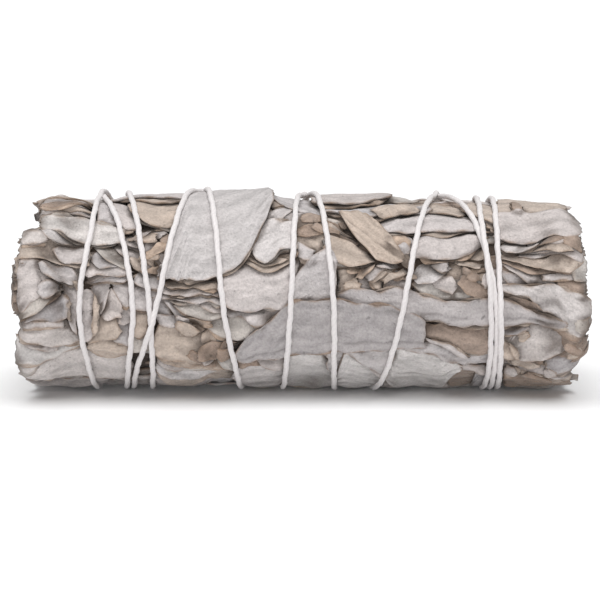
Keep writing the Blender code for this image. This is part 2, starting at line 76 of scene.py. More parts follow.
def read_map(field, x, angle):
    """The map's value between its cells, mixed linearly from the four round each place."""
    row = np.clip((x - map_x[0]) / CELL, 0, len(map_x) - 1.001)
    column = np.mod(angle, 360.0)
    i, j = row.astype(int), column.astype(int) % 360
    a, b = row - i, column - np.floor(column)
    k = (j + 1) % 360
    near = field[i, j] * (1 - b) + field[i, k] * b
    far = field[i + 1, j] * (1 - b) + field[i + 1, k] * b
    return near * (1 - a) + far * a


# The way of the string
# One cotton string is wound round the roll to its right end and back. It comes last on the real
# stick, but its way is worked out first, because the leaves are pressed in beneath it.
# Each pass over the front gives x in mm at the angles 90, 45, 0, -45 and -90.
STRING_DIAMETER = 1.0
STRING_RADIUS_OUT = 18.1
PASSES = (
    (-36.1, -31.8, -29.4, -30.9, -32.5),
    (-31.5, -28.6, -26.5, -26.5, -27.6),
    (-17.0, -15.0, -13.6, -11.6, -10.9),
    (2.5, 4.4, 5.7, 5.9, 6.4),
    (27.4, 31.4, 34.0, 34.6, 35.0),
    (32.2, 32.0, 33.1, 33.6, 33.6),
    (35.0, 34.5, 34.8, 35.6, 36.3),
    (23.9, 20.6, 17.9, 15.3, 12.9),
    (-0.4, -1.2, -1.8, -2.7, -3.6),
    (-20.3, -22.5, -25.2, -29.3, -31.2),
    (-36.7, -37.1, -38.7, -37.9, -37.6),
)
KNOT_X = -37.0
KNOT_STRAND_OFFSET = 0.62
TAIL_TURN = 30.0
TAIL_REACH = 5.0
STRING_STEP = 0.35


def smooth_through(knots, values, wanted):
    """A cubic curve through (knots, values); the slope at a knot is its neighbours' slope."""
    slopes = np.gradient(values, knots)
    left = np.clip(np.searchsorted(knots, wanted, side="right") - 1, 0, len(knots) - 2)
    span = knots[left + 1] - knots[left]
    t = (wanted - knots[left]) / span
    rise = values[left + 1] - values[left]
    start, end = slopes[left] * span, slopes[left + 1] * span
    bend = (start - rise) * (1 - t) - (end - rise) * t
    return values[left] + rise * t + t * (1 - t) * bend


quarter_turns = [360.0 * n + 90 + 45 * k for n in range(len(PASSES)) for k in range(5)]
whole_turn = 360.0 * len(PASSES)
route_knots = np.array([-TAIL_TURN, 0.0] + quarter_turns + [whole_turn, whole_turn + TAIL_TURN])
route_values = np.array(
    [KNOT_X - TAIL_REACH, KNOT_X - KNOT_STRAND_OFFSET]
    + [x for places in PASSES for x in places]
    + [KNOT_X + KNOT_STRAND_OFFSET, KNOT_X + TAIL_REACH]
)
route_count = int((whole_turn + 2 * TAIL_TURN) * math.radians(STRING_RADIUS_OUT) / STRING_STEP)
route_turn = np.linspace(-TAIL_TURN, whole_turn + TAIL_TURN, route_count)
route_x = smooth_through(route_knots, route_values, route_turn)
route_angle = 180.0 - route_turn

# How near each cell of the map is to the string, worked out by stamping a small square of
# distances at every point of the route.
FAR_FROM_STRING = 9.0
STAMP_REACH = 14
near_string = np.full(bed.shape, FAR_FROM_STRING)
stamp = np.arange(-STAMP_REACH, STAMP_REACH + 1)
stamp_i, stamp_j = np.meshgrid(stamp, stamp, indexing="ij")
route_i = np.rint((route_x - map_x[0]) / CELL).astype(int)
route_j = np.rint(route_angle).astype(int)
cell_i = route_i[:, None, None] + stamp_i
cell_j = route_j[:, None, None] + stamp_j
gap_x = map_x[cell_i] - route_x[:, None, None]
gap_arc = (cell_j - route_angle[:, None, None]) * ARC_PER_DEGREE
np.minimum.at(near_string, (cell_i, cell_j % 360), np.hypot(gap_x, gap_arc))

# Pulled tight, the string packs the leaves to one even roll. The map's broad level is taken to
# the roll's own radius, and the steps between leaves stay. Above the roll's level they are held
# in under the string, and may bulge between its turns; below it they go to a depth only.
ROLL_RADIUS = 17.0
LEVEL_REACH = 4.5
RELIEF = 0.95
BULGE_AT_STRING = 0.65
BULGE_BETWEEN = 1.5
BULGE_REACH = 2.2
GAP_DEPTH = 2.6
headroom = BULGE_BETWEEN + (BULGE_AT_STRING - BULGE_BETWEEN) * np.exp(
    -((near_string / BULGE_REACH) ** 2)
)

# The roll isn't quite even: along its top it stands out or falls back by this much, x against mm.
TOP_ANGLE = 86
TOP_LINE = (
    (-47, -30, -20, -15, -6, -3.5, 0, 16, 20, 38, 43, 50),
    (0.0, 0.2, 0.5, 1.7, 2.2, 1.0, 0.4, 0.4, -0.3, -0.4, -1.2, -1.4),
)


def packed(x, angle, radius, level):
    """Radius in the tied roll: roll + room * tanh(relief / room), which keeps the order.

    The roll is ROLL_RADIUS plus the top line's value times cos(angle - TOP_ANGLE) ** 4.
    """
    relief = RELIEF * (radius - read_map(level, x, angle))
    room = np.where(relief > 0, read_map(headroom, x, angle), GAP_DEPTH)
    top_share = np.clip(np.cos(np.radians(angle - TOP_ANGLE)), 0, 1) ** 4
    return ROLL_RADIUS + np.interp(x, *TOP_LINE) * top_share + room * np.tanh(relief / room)


# One leaf
# A dried white sage leaf: a felted blade about 0.4 mm thick, crowned across, its lower edge
# standing off a little, with shallow crinkles. It is laid over what is already on the roll.
LEAF_THICKNESS = 0.36
LEAF_ROW_STEP = 0.57
LEAF_COLUMN_STEP = 0.43
EDGE_RIPPLE = 0.034
TORN_END = 0.16
RIB_HEIGHT = 0.13

# Colour of each kind: white, pale, cool, mid grey, light grey, grey green, tan, ochre, brown.
PALETTE = {
    "w": (0.66, 0.62, 0.60),
    "p": (0.60, 0.555, 0.54),
    "c": (0.575, 0.535, 0.53),
    "m": (0.44, 0.41, 0.41),
    "l": (0.555, 0.505, 0.49),
    "g": (0.55, 0.505, 0.47),
    "t": (0.525, 0.435, 0.37),
    "o": (0.56, 0.43, 0.34),
    "b": (0.38, 0.29, 0.235),
}
RIM_BROWN = np.array((0.28, 0.19, 0.13))
# Dark brown of the painted shade deep in the gaps, also given to the heart of the roll below them.
GAP_SHADE_BROWN = np.array((0.09, 0.063, 0.047))
draw = np.random.default_rng(23)
laid = []


def crinkled(along, across, size, waves=9):
    """Sum of waves whose crests run mostly along the leaf, 1.1 to 6.5 mm apart.

    By turns they are plain cosines, 1 - 2 * |cos| with sharp ridges and its negative with sharp
    creases. Each bends with a slow sine along the leaf, so that no two crests are parallel.
    """
    height = np.zeros(along.shape)
    for number in range(waves):
        length = draw.uniform(1.1, 6.5)
        slant = draw.normal(0.0, 0.45)
        bend = draw.uniform(0.3, 1.6) * np.sin(along * draw.uniform(0.1, 0.5) + draw.uniform(0, 6))
        place = across * math.cos(slant) + 0.6 * along * math.sin(slant) + bend
        fold = np.cos(2 * math.pi * place / length + draw.uniform(0, 2 * math.pi))
        height += length / 9 * (fold, 1 - 2 * np.abs(fold), 2 * np.abs(fold) - 1)[number % 3]
    return size * height / math.sqrt(waves)


def lay_leaf(piece, edges, kind, roll, lip, crinkle=0.3, detail=1.0, rib=None, pointed=False):
    """Lays a leaf between two edges on the roll, and remembers its outer face.

    edges has a row for each place along the leaf: x and angle of its upper edge, then of its
    lower edge. Across the leaf, v runs from -1 to 1. Its height over the bed is the thickness,
    plus roll * (1 - |v| ** 2.4), plus lip * t ** 1.5 with t from 0 at the upper edge to 1 at
    the lower edge, plus crinkles. Roll and lip are less where the leaf is under 3 mm wide, and
    the lip comes and goes along it as a slow cosine. A midrib at v = rib is a groove between two
    low ridges. The ends are torn, and a pointed leaf narrows at them to tips. Its outline goes
    half by straight lines from row to row and half by a smooth curve. A wide leaf is stiff and
    bridges the hollows under it: it lies on the bed's tops, blurred over a part of its breadth,
    and never lower than the bed.
    """
    edges = np.asarray(edges, float)
    middle = (edges[:, :2] + edges[:, 2:]) / 2
    steps = np.hypot(np.diff(middle[:, 0]), np.diff(middle[:, 1]) * ARC_PER_DEGREE)
    knots = np.concatenate([[0.0], np.cumsum(np.maximum(steps, 0.05))])
    length = knots[-1]
    breadth = np.hypot(edges[:, 0] - edges[:, 2], (edges[:, 1] - edges[:, 3]) * ARC_PER_DEGREE)
    rows = int(np.clip(length / LEAF_ROW_STEP * detail, 8, 96))
    columns = int(np.clip(breadth.max() / LEAF_COLUMN_STEP * detail, 8, 56))
    u = (1 - np.cos(np.linspace(0, math.pi, rows))) / 2
    u = 0.5 * u + 0.5 * np.linspace(0, 1, rows)
    v = np.sin(np.linspace(-math.pi / 2, math.pi / 2, columns))
    curved = np.stack([smooth_through(knots, edges[:, k], u * length) for k in range(4)], -1)
    straight = np.stack([np.interp(u * length, knots, edges[:, k]) for k in range(4)], -1)
    sides = (curved + straight) / 2
    for k in (1, 3):
        for ripple in draw.uniform(1.5, 11.0, 4):
            wave = np.cos(2 * math.pi * u * length / ripple + draw.uniform(0, 2 * math.pi))
            sides[:, k] += EDGE_RIPPLE * ripple**0.7 * wave / ARC_PER_DEGREE
    from_middle = np.abs(2 * u - 1)[:, None]
    if pointed:
        lean = np.interp(u, (0, 1), draw.uniform(0.1, 0.9, 2))[:, None]
        spine = np.tile(sides[:, :2] * (1 - lean) + sides[:, 2:] * lean, 2)
        waist = 1 - 0.96 * np.clip((from_middle - 0.66) / 0.34, 0, 1) ** 1.4
        sides = spine + waist * (sides - spine)
    share = ((v + 1) / 2)[None, :]
    x = sides[:, 0:1] * (1 - share) + sides[:, 2:3] * share
    angle = sides[:, 1:2] * (1 - share) + sides[:, 3:4] * share
    tear = np.cos(v * draw.uniform(2, 5) + draw.uniform(0, 6)) + np.cos(v * draw.uniform(5, 9))
    x = x + TORN_END * tear[None, :] * from_middle**12
    x = np.clip(x, -STICK_LENGTH / 2, STICK_LENGTH / 2)
    along = np.broadcast_to((u * length)[:, None], x.shape)
    width = np.hypot(sides[:, 0] - sides[:, 2], (sides[:, 1] - sides[:, 3]) * ARC_PER_DEGREE)
    across = v[None, :] * width[:, None] / 2

    ends = 1 - from_middle**6
    narrow = np.clip(width / 3.0, 0.25, 1.0)[:, None]
    crown = roll * (1 - np.abs(v[None, :]) ** 2.4) * ends
    swing = np.cos(along / draw.uniform(1.2, 3.2) + draw.uniform(0, 6))
    lifted = lip * (0.62 + 0.45 * swing) * ((v[None, :] + 1) / 2) ** 1.5
    wrinkles = crinkled(along, across, crinkle)
    thickness = LEAF_THICKNESS
    if rib is not None:
        off_rib = np.abs(v - rib)[None, :] * width[:, None] / 2
        ridges = np.exp(-(((off_rib - 0.75) / 0.4) ** 2)) - 0.8 * np.exp(-((off_rib / 0.3) ** 2))
        wrinkles = wrinkles + RIB_HEIGHT * ridges
    height = thickness + (crown + lifted) * narrow + wrinkles
    under = read_map(bed, x, angle)
    span = np.clip(0.3 * (breadth.max() - 2), 0.4, 2.8)
    bridged = smoothed(np.maximum(bed, smoothed(bed, span)), 0.6 * span)
    radius = np.maximum(read_map(bridged, x, angle) + height, under + 0.5 * thickness)

    fine_u, fine_v = np.linspace(0, rows - 1, 3 * rows), np.linspace(0, columns - 1, 3 * columns)
    blend_u = np.maximum(0, 1 - np.abs(fine_u[:, None] - np.arange(rows)[None, :]))
    blend_v = np.maximum(0, 1 - np.abs(fine_v[:, None] - np.arange(columns)[None, :]))
    fine_x, fine_angle, fine_radius = (blend_u @ f @ blend_v.T for f in (x, angle, radius))
    i = np.rint((fine_x - map_x[0]) / CELL).astype(int)
    j = np.rint(fine_angle).astype(int) % 360
    np.maximum.at(bed, (i, j), fine_radius)

    rim = np.minimum(1 - np.abs(v)[None, :], 1.0) * width[:, None] / 2
    rim = np.minimum(rim, np.minimum(along, length - along))
    tone = draw.normal(0, 1, 3)
    laid.append((piece, kind, x, angle, radius, along, across, rim, thickness, wrinkles, tone))


def leaf_edges(stalk, tip, half_width, bow=0.0, blunt=0.0, places=9):
    """Edges of a lance-shaped leaf: half-width * sin(pi * u ** 0.78) ** 0.62.

    By the share blunt it is held wide near its stalk. It bends aside as bow * 4 * u * (1 - u).
    """
    stalk, tip = np.array(stalk, float), np.array(tip, float)
    run = (tip - stalk) * (1, ARC_PER_DEGREE)
    length = math.hypot(*run)
    forward = run / length
    u = np.linspace(0, 1, places)
    lance = np.clip(np.sin(math.pi * np.clip(u, 0.001, 0.999) ** 0.78), 0, 1) ** 0.62
    hold = blunt * np.clip(1.6 - 2.2 * u, 0, 1)
    wide = half_width * np.maximum(lance * (1 - hold) + (1 - 0.15 * u) * hold, 0.04)
    curve = bow * 4 * u * (1 - u)
    edges = []
    for side in (1, -1):
        off = curve + side * wide
        edges.append(stalk[0] + u * run[0] - off * forward[1])
        edges.append(stalk[1] + (u * run[1] + off * forward[0]) / ARC_PER_DEGREE)
    edges = np.stack(edges, -1)
    lower_first = np.sin(np.radians(edges[:, 1])).sum() < np.sin(np.radians(edges[:, 3])).sum()
    return edges[:, [2, 3, 0, 1]] if lower_first else edges


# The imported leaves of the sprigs
# Seven sprigs are bound together, and their own small leaves fill the roll. They lie roughly
# along it, overlap like shingles, and show as narrow strips between the broad leaves.
SPRIG_BOUNDS = (-38, 20, 83, 140, 204, 264)

# How far the roll reaches from its middle at each end, as angles and the x at each.
LEFT_REACH = (
    (-60, -45, -22, -18, -8, -4, 26, 30, 44, 47, 130, 160),
    (49.4, 50.2, 50.2, 49.0, 49.2, 50.5, 50.5, 49.2, 49.0, 46.6, 46.6, 50.0),
)
RIGHT_REACH = (
    (-60, -45, -30, -22, -8, 4, 10, 20, 60, 75, 120, 160),
    (47.6, 48.3, 49.6, 50.2, 50.5, 50.6, 49.6, 50.0, 49.2, 47.6, 47.6, 50.0),
)


def reach_at(side, angle):
    """x of the roll's end at an angle, for the left side (-1) or the right one (1)."""
    angles, reaches = LEFT_REACH if side < 0 else RIGHT_REACH
    return side * np.interp(angle, angles, reaches, period=360)


def sprig_at(angle):
    """Name of the outer sprig whose sector holds the angle."""
    place = (angle - SPRIG_BOUNDS[0]) % 360 + SPRIG_BOUNDS[0]
    return f"sprig_{sum(place >= bound for bound in SPRIG_BOUNDS)}_leaves"


def scatter_leaves(count, low, high, kinds, widths, lengths, roll, lip, crinkle, detail):
    """Lays leaves at seeded random places between two angles, in no order."""
    for _ in range(count):
        angle = draw.uniform(low, high)
        length = draw.uniform(*lengths)
        centre = draw.uniform(-50, 50)
        heading = draw.choice((-1, 1))
        slant = draw.normal(0, 7) * length / 25
        ends = centre + heading * length / 2 * np.array((-1, 1))
        start, end = np.clip(ends, reach_at(-1, angle), reach_at(1, angle))
        blunt = 0.25 if start == ends[0] else 1.0
        edges = leaf_edges(
            (start, angle - slant), (end, angle + slant), draw.uniform(*widths),
            draw.normal(0, 0.5), blunt,
        )
        kind = str(draw.choice(list(kinds)))
        lay_leaf(sprig_at(angle), edges, kind, roll, lip, crinkle, detail)


scatter_leaves(170, -40, 320, "bbtgl", (1.6, 2.8), (14, 26), 0.35, 0.3, 0.4, 0.55)
scatter_leaves(120, 92, 284, "bttlgm", (1.2, 2.6), (10, 24), 0.4, 0.4, 0.5, 0.8)
scatter_leaves(110, 95, 281, "ppclllgtm", (1.8, 3.4), (14, 30), 0.5, 0.5, 0.4, 0.9)

# The broad leaves of the back and the underside
# Larger loose leaves are laid over the sprigs all round, held by the string only. These are the
# ones that the front doesn't show. Two smaller leaves of the sprigs lie beside each.

# A row gives the piece, x and angle of its stalk and of its tip, half its width, kind and blunt.
BACK_LEAVES = (
    ("leaf_under_1", (-50.0, 272), (-19.0, 266), 4.2, "l", 1.0),
    ("leaf_under_2", (22.0, 262), (-12.0, 261), 3.5, "g", 0.0),
    ("leaf_under_3", (50.0, 266), (28.0, 264), 3.6, "l", 1.0),
    ("leaf_back_9", (-50.0, 218), (-28.0, 228), 3.4, "t", 1.0),
    ("leaf_back_10", (12.0, 233), (38.0, 236), 3.4, "p", 0.2),
    ("leaf_back_8", (-26.0, 213), (6.0, 215), 4.2, "p", 0.2),
    ("leaf_back_7", (50.0, 190), (26.0, 202), 4.0, "g", 1.0),
    ("leaf_back_6", (22.0, 186), (-11.0, 178), 4.2, "l", 0.0),
    ("leaf_back_5", (-50.0, 176), (-21.0, 172), 4.2, "p", 1.0),
    ("leaf_back_4", (48.0, 150), (17.0, 154), 4.2, "p", 1.0),
    ("leaf_back_3", (-20.0, 148), (11.0, 140), 4.4, "l", 0.4),
    ("leaf_back_1", (-50.0, 122), (-24.0, 118), 4.0, "t", 1.0),
    ("leaf_back_2", (50.0, 108), (20.0, 114), 4.0, "p", 1.0),
)
for name, stalk, tip, half_width, kind, blunt in BACK_LEAVES:
    edges = leaf_edges(stalk, tip, half_width, 0.4, blunt, 11)
    lay_leaf(name, edges, kind, 0.6, 0.8, 0.3)
    small_angle = (stalk[1] + tip[1]) / 2 + draw.uniform(14, 20)
    start = (stalk[0] + tip[0]) / 2
    for way in (-1, 1):
        edges = leaf_edges(
            (start, small_angle), (start + way * 17, small_angle + 5 * way), 2.2, 0.3, 0.3
        )
        lay_leaf(sprig_at(small_angle), edges, str(draw.choice(list("plgt"))), 0.5, 0.5, 0.5)

# The leaves of the front
# Dried blades, broad and small, lie over one another under the string. Each that shows has its
# own outline, measured on a drawing of the stick from the front: a plane through the stick's
# axis, 9 degrees off upright, seen from 300 mm away.
EYE_DISTANCE = 300.0
EYE_TILT = 9.0
DRAWN_RADIUS = 17.4
OVER_THE_TOP = 5.0


def from_front(x, height):
    """Place on the roll that the eye sees at (x, height): where its ray meets the cylinder.

    The ray gives sin(a + d) = height / (radius * hypot(1, height / distance)), with
    d = atan(height / distance) and a the angle from the line of sight. Past the outline the
    leaf goes on round the roll by some degrees for each mm.
    """
    slope = height / EYE_DISTANCE
    sine = height / (DRAWN_RADIUS * np.hypot(1, slope))
    beyond = np.sign(sine) * np.maximum(np.abs(sine) - 1, 0) * DRAWN_RADIUS * OVER_THE_TOP
    turn = np.degrees(np.arcsin(np.clip(sine, -1, 1)) - np.arctan(slope)) + beyond
    near = 1 - DRAWN_RADIUS * np.cos(np.radians(turn)) / EYE_DISTANCE
    return x * near, turn + EYE_TILT


# A row gives the piece, the kind of leaf, roll, lip, and then x, upper and lower edge, in mm.
# One without a name belongs to the sprig at its place. Each lies over the ones before it.
FRONT_LEAVES = (
    ("leaf_low_left", "p", 0.5, 0.5, ((-52.1, -14.1, -15.5), (-48.6, -13.1, -16.1),
        (-44.1, -12.3, -16.3), (-40.8, -10.9, -16.5), (-37.1, -11.5, -16.7), (-31.2, -12.2, -16.7))),
    ("", "l", 0.4, 0.3, ((-27.9, -13.3, -17.8), (-25.1, -15.2, -18.1), (-21.4, -16.3, -18.3),
        (-18.6, -16.3, -17.8), (-16, -16.7, -17.4))),
    ("", "t", 0.3, 0.3, ((-26.7, -13, -16.3), (-24.2, -14.3, -17.2), (-20.8, -15, -17.4),
        (-17.5, -15.2, -17), (-12.7, -15.4, -17.4), (-9.3, -15.2, -17.8))),
    ("", "p", 0.3, 0.5, ((-26.9, -13.9, -15), (-23.8, -14.1, -16.5), (-20.5, -14.6, -16.8),
        (-16.7, -14.6, -16.1), (-12.7, -15.2, -15.9))),
    ("", "l", 0.3, 0.4, ((-26.9, -13, -14.1), (-23.2, -13.5, -14.8), (-19.5, -13.4, -14.5),
        (-15.8, -13.9, -14.8), (-12.7, -14.6, -15.4))),
    ("", "t", 0.3, 0.4, ((-26.9, -12.4, -13.1), (-23.2, -12.8, -13.9), (-19.5, -12.6, -13.7),
        (-15.8, -13, -14.3), (-13, -13.7, -14.8))),
    ("", "p", 0.4, 0.3, ((-12.7, -15, -17.8), (-9.3, -14.6, -18), (-5.6, -14.6, -18),
        (-2.3, -15, -17.8))),
    ("", "b", 0.3, 0.2, ((-11.9, -14.1, -15.4), (-9.7, -13.5, -14.8), (-7.9, -13.1, -14.8),
        (-6, -13.1, -14.6))),
    ("", "t", 0.3, 0.2, ((-11.2, -13.3, -14.3), (-9, -12.6, -13.7), (-7.1, -12.6, -14.1))),
    ("", "l", 0.3, 0.3, ((-8.2, -13, -14.1), (-6.4, -13, -15.2), (-4.5, -13.3, -15.4),
        (-2.9, -14.1, -15))),
    ("leaf_low_middle", "w", 0.5, 0.5, ((-3.1, -12.4, -18), (-0.1, -12, -18.3), (1.8, -12.4, -18.5),
        (3.6, -13.3, -18.5), (5.6, -14.6, -18.7), (7.7, -15.5, -18.5))),
    ("", "l", 0.3, 0.2, ((0.3, -10.5, -11.3), (2.5, -10.9, -12.2), (4.3, -11.8, -13.3),
        (6.2, -13, -14.6))),
    ("", "c", 0.3, 0.2, ((1, -10.2, -10.7), (3.2, -10.4, -11.7), (5.5, -11.5, -13),
        (6.9, -12.6, -14.1))),
    ("", "l", 0.3, 0.2, ((3.6, -10.2, -11.5), (6.2, -10.2, -12.6), (8.4, -10.4, -13.3),
        (10.6, -11.1, -13.7))),
    ("", "c", 0.1, 0.1, ((4.7, -11.1, -15.5), (6.9, -10.5, -17), (9.2, -10.7, -17.8))),
    ("", "w", 0.3, 0.3, ((6.4, -11.1, -18.9), (7.5, -11.5, -18.9), (9.2, -12.4, -19.1),
        (11, -13.7, -19.1), (13.2, -15, -19.1), (15.1, -15.9, -18.9), (16.6, -17, -18.5))),
    ("", "l", 0.4, 0.4, ((15.3, -16.3, -18.9), (17.5, -16.3, -19.1), (19.5, -17, -19.2),
        (24, -17.4, -19.2), (27.3, -17.4, -19.1))),
    ("", "b", 0.2, 0.1, ((25.8, -15.4, -17.8), (28, -14.8, -17.8), (31.4, -15.2, -18.1),
        (35.1, -15.5, -18.1), (37.8, -15.5, -17.8))),
    ("", "m", 0.4, 0.4, ((31.4, -16.3, -18.1), (35.1, -15.5, -18.1), (37.8, -15.9, -18.1),
        (40.6, -16.5, -17.8))),
    ("", "l", 0.3, 0.4, ((26.6, -14.4, -15.5), (28.8, -14.1, -15.4), (31.4, -15.2, -15.9),
        (34.7, -15.5, -16.7), (37.8, -15.2, -16.8))),
    ("leaf_low_right", "w", 0.6, 0.6, ((14.7, -11.1, -16.3), (17.9, -11.5, -17.8), (20.3, -11.7, -18.3),
        (23, -12.6, -18.3), (25.8, -13.5, -18), (28, -14.3, -16.5), (29.9, -14.6, -15.4))),
    ("", "c", 0.4, 0.5, ((18.4, -10.4, -11.5), (23, -10.5, -12.6), (26.9, -11.1, -13.7),
        (30.6, -12.6, -14.6), (35.1, -13.1, -15), (37.5, -13.3, -15))),
    ("", "c", 0.4, 0.4, ((7.7, -11.1, -11.7), (9.2, -11.1, -12.4), (11, -11.1, -13.7),
        (13.2, -11.1, -15), (15.3, -11.3, -15.9), (17.3, -11.5, -14.1))),
    ("", "b", 0.3, 0.3, ((37.5, -15.4, -17.4), (41.5, -15.5, -17.4), (45.8, -15.7, -17.4),
        (49.9, -15.5, -17.6))),
    ("", "t", 0.3, 0.4, ((40.6, -14.6, -15.9), (44.3, -14.6, -16.7), (47.3, -15, -16.7),
        (50.1, -14.8, -16.7))),
    ("", "l", 0.3, 0.4, ((37.5, -14.1, -16.5), (40.6, -14.3, -15.4), (44.3, -14.1, -15.7),
        (47.3, -14.1, -15.9), (49.5, -13.5, -15.5))),
    ("", "t", 0.3, 0.4, ((36.9, -12.8, -13.9), (39.7, -12.6, -14.8), (42.8, -13, -14.6),
        (45.8, -13.1, -14.3), (48, -13.3, -15.2))),
    ("", "m", 0.5, 0.4, ((45.2, -11.5, -14.1), (47.7, -11.3, -14.6), (49.9, -11.3, -14.1),
        (51.7, -11.1, -12.8))),
    ("", "b", 0.3, 0.3, ((40.6, -12, -14.1), (42.5, -12.4, -14.6), (45.2, -12, -13.3))),
    ("", "b", 0.4, 0.3, ((47.1, -9.6, -11.5), (49.1, -8.3, -11.8), (51.4, -8.1, -11.5),
        (53.2, -8.9, -11.1))),
    ("leaf_low_right_end", "p", 0.6, 0.6, ((36.9, -10.2, -13), (39.7, -8.1, -13.1), (42.8, -7.2, -13),
        (45.8, -7, -12.2), (48, -7.2, -11.1), (49.9, -8.1, -10))),
    ("", "t", 0.1, 0.1, ((40.3, -8.9, -10), (41.4, -8.3, -10.2), (42.5, -8.3, -9.3))),
    ("", "t", 0.3, 0.3, ((36.9, -9.6, -12.4), (38.4, -10.4, -13), (39.9, -11.1, -12.6))),
    ("", "t", 0.3, 0.3, ((38.6, -10.2, -10.7), (39.5, -10.5, -12.2), (40.4, -11.5, -12.6))),
    ("", "p", 0.3, 0.4, ((-52.7, -12.2, -13.1), (-51.2, -12.6, -14.6), (-49.5, -12.6, -14.3),
        (-48.6, -12.6, -13.1))),
    ("", "w", 0.3, 0.3, ((-52.8, -8.9, -12.8), (-51.5, -8.9, -13), (-48.2, -9.6, -13),
        (-44.5, -9.8, -12.2), (-40.8, -9.8, -10.8))),
    ("", "l", 0.3, 0.3, ((-52.1, -8.5, -9.4), (-50.1, -8.9, -10.5), (-47.1, -9.8, -11.1),
        (-44.9, -10.2, -11.1))),
    ("leaf_left_end_lower", "p", 0.5, 0.5, ((-52.1, -5.7, -8.5), (-50.1, -5.5, -9.3),
        (-46.7, -5.6, -10), (-44.1, -5.7, -10.2), (-42.3, -7, -10.2), (-40.8, -8.3, -10))),
    ("", "l", 0.3, 0.2, ((-51.5, -5.4, -6.5), (-49, -5.4, -6.8), (-46, -5.6, -6.7),
        (-43.8, -5.7, -6.5))),
    ("", "t", 0.3, 0.2, ((-40.1, -9.8, -11.5), (-37.8, -8.7, -12.4), (-34.9, -8.7, -12.5),
        (-32.3, -9.4, -12.4), (-30.8, -10.4, -11.7))),
    ("", "l", 0.3, 0.3, ((-34.7, -5.9, -9.3), (-33, -5.9, -10.2), (-30.8, -6.1, -10.9))),
    ("", "g", 0.3, 0.3, ((-31.6, -8.3, -11.5), (-29.3, -8.1, -11.8), (-27.5, -8.1, -11.5))),
    ("", "t", 0.4, 0.4, ((-31, -3.3, -8.5), (-29.9, -2.8, -8.9), (-28.2, -3.9, -8.1))),
    ("", "t", 0.6, 0.6, ((-40.1, -8.5, -10.2), (-38.4, -5.9, -9.8), (-37.1, -5.2, -9.5),
        (-35.3, -5.2, -9.4), (-34.1, -5.4, -9.1), (-33.2, -6.7, -8.1))),
    ("", "l", 0.5, 0.4, ((-33.8, -2.6, -6.3), (-32.8, -2.4, -6.7), (-31.6, -3.3, -6.3))),
    ("", "l", 0.4, 0.3, ((-35.1, 1.7, -0.2), (-33.8, 1.9, -2.6), (-32.7, 1.9, -3.5), (-31.4, 1.7, -3))),
    ("", "l", 0.4, 0.3, ((-37.3, -3, -5), (-36.4, -0.7, -5.6), (-35.4, 0.6, -5.6), (-34.5, -0.6, -5.6),
        (-33.2, -2.8, -5.4))),
    ("", "l", 0.3, 0.3, ((-39.3, 0.7, -1.1), (-38.4, 1.3, -4.4), (-37.5, 1.5, -5.2), (-36.6, 1.5, -4.1),
        (-35.6, 1.5, -0.4))),
    ("", "l", 0.2, 0.2, ((-41, 0, -8.7), (-39.9, 0.7, -9.6), (-39, 0.4, -9.3), (-38.2, -1.1, -8.1))),
    ("", "t", 0.0, 0.1, ((-38.6, -0.7, -8.5), (-38, -1.3, -8.3), (-37.5, -2.6, -7.2))),
    ("", "l", 0.4, 0.4, ((-44.5, 1.3, -1.9), (-43.4, 1.5, -5.2), (-42.3, 1.1, -7.4),
        (-41.4, -0.4, -8.1))),
    ("", "t", 0.3, 0.3, ((-44.1, -0.4, -3), (-43.4, -1.1, -4.8), (-42.7, -2.6, -5.6))),
    ("", "m", 0.4, 0.4, ((-51.2, -4.3, -5.6), (-48.6, -2.4, -5.6), (-46.4, -1.3, -5.6),
        (-44.5, -0.7, -5.4), (-43.2, -2, -4.8))),
    ("", "g", 0.4, 0.5, ((-51.9, -1.9, -5.6), (-50.1, -0.2, -4.6), (-47.8, 0.7, -3.1), (-46, 1.1, -2),
        (-44.5, 0.9, -0.9))),
    ("", "l", 0.5, 0.3, ((-52.3, 5.2, -4.1), (-51.2, 5.6, -4.1), (-49.7, 5.7, -2), (-47.5, 5, -0.4),
        (-46, 3.3, 0.6))),
    ("", "l", 0.3, 0.3, ((-48.6, 3.7, 2.4), (-46.7, 3.5, 1.1), (-44.9, 2.4, 0.6))),
    ("", "l", 0.0, 0.1, ((-48.6, 0.6, -0.4), (-47.5, 1.7, -1.3), (-46.2, 1.9, -1.3),
        (-44.9, 1.1, -0.2))),
    ("", "l", 0.4, 0.5, ((-48.6, 5.6, 4.4), (-46.7, 5.4, 2.8), (-44.9, 5, 1.7), (-43, 4.4, 0.9),
        (-41.2, 3.7, 0.6))),
    ("", "c", 0.3, 0.4, ((-48.6, 4.8, 3.7), (-47.1, 4.3, 2.4), (-45.2, 3.3, 1.7), (-44.1, 2.6, 1.7))),
    ("", "t", 0.2, 0.2, ((-42.3, 1.7, 1.1), (-41.4, 1.5, 0.6), (-40.6, 1.1, 0.4))),
    ("", "c", 0.3, 0.5, ((-40.1, 2.6, 0.9), (-37.1, 3.3, 1.5), (-34.1, 3.5, 1.7), (-31.2, 3.5, 1.7))),
    ("", "l", 0.5, 0.5, ((-40.8, 5.9, 2), (-39, 7, 2), (-36.4, 6.5, 2.4), (-33.8, 5.2, 2.8),
        (-31.2, 4.1, 3))),
    ("", "m", 0.3, 0.3, ((-39, 8.1, 5.2), (-37.5, 7.8, 4.1), (-35.6, 6.3, 3.9), (-33.8, 4.8, 3.7))),
    ("", "g", 0.5, 0.6, ((-38.6, 9.3, 8), (-37.1, 9.1, 6.7), (-35.3, 8.9, 5.2), (-33.4, 8.5, 3.9),
        (-31.2, 7.4, 3.1))),
    ("leaf_left_end_upper", "t", 0.6, 0.6, ((-52.3, 8.1, 5.7), (-50.1, 8.9, 5.6), (-47.3, 9.1, 5.4),
        (-44.1, 9.2, 4.9), (-41.5, 9.3, 4.4), (-39, 9.1, 4.4))),
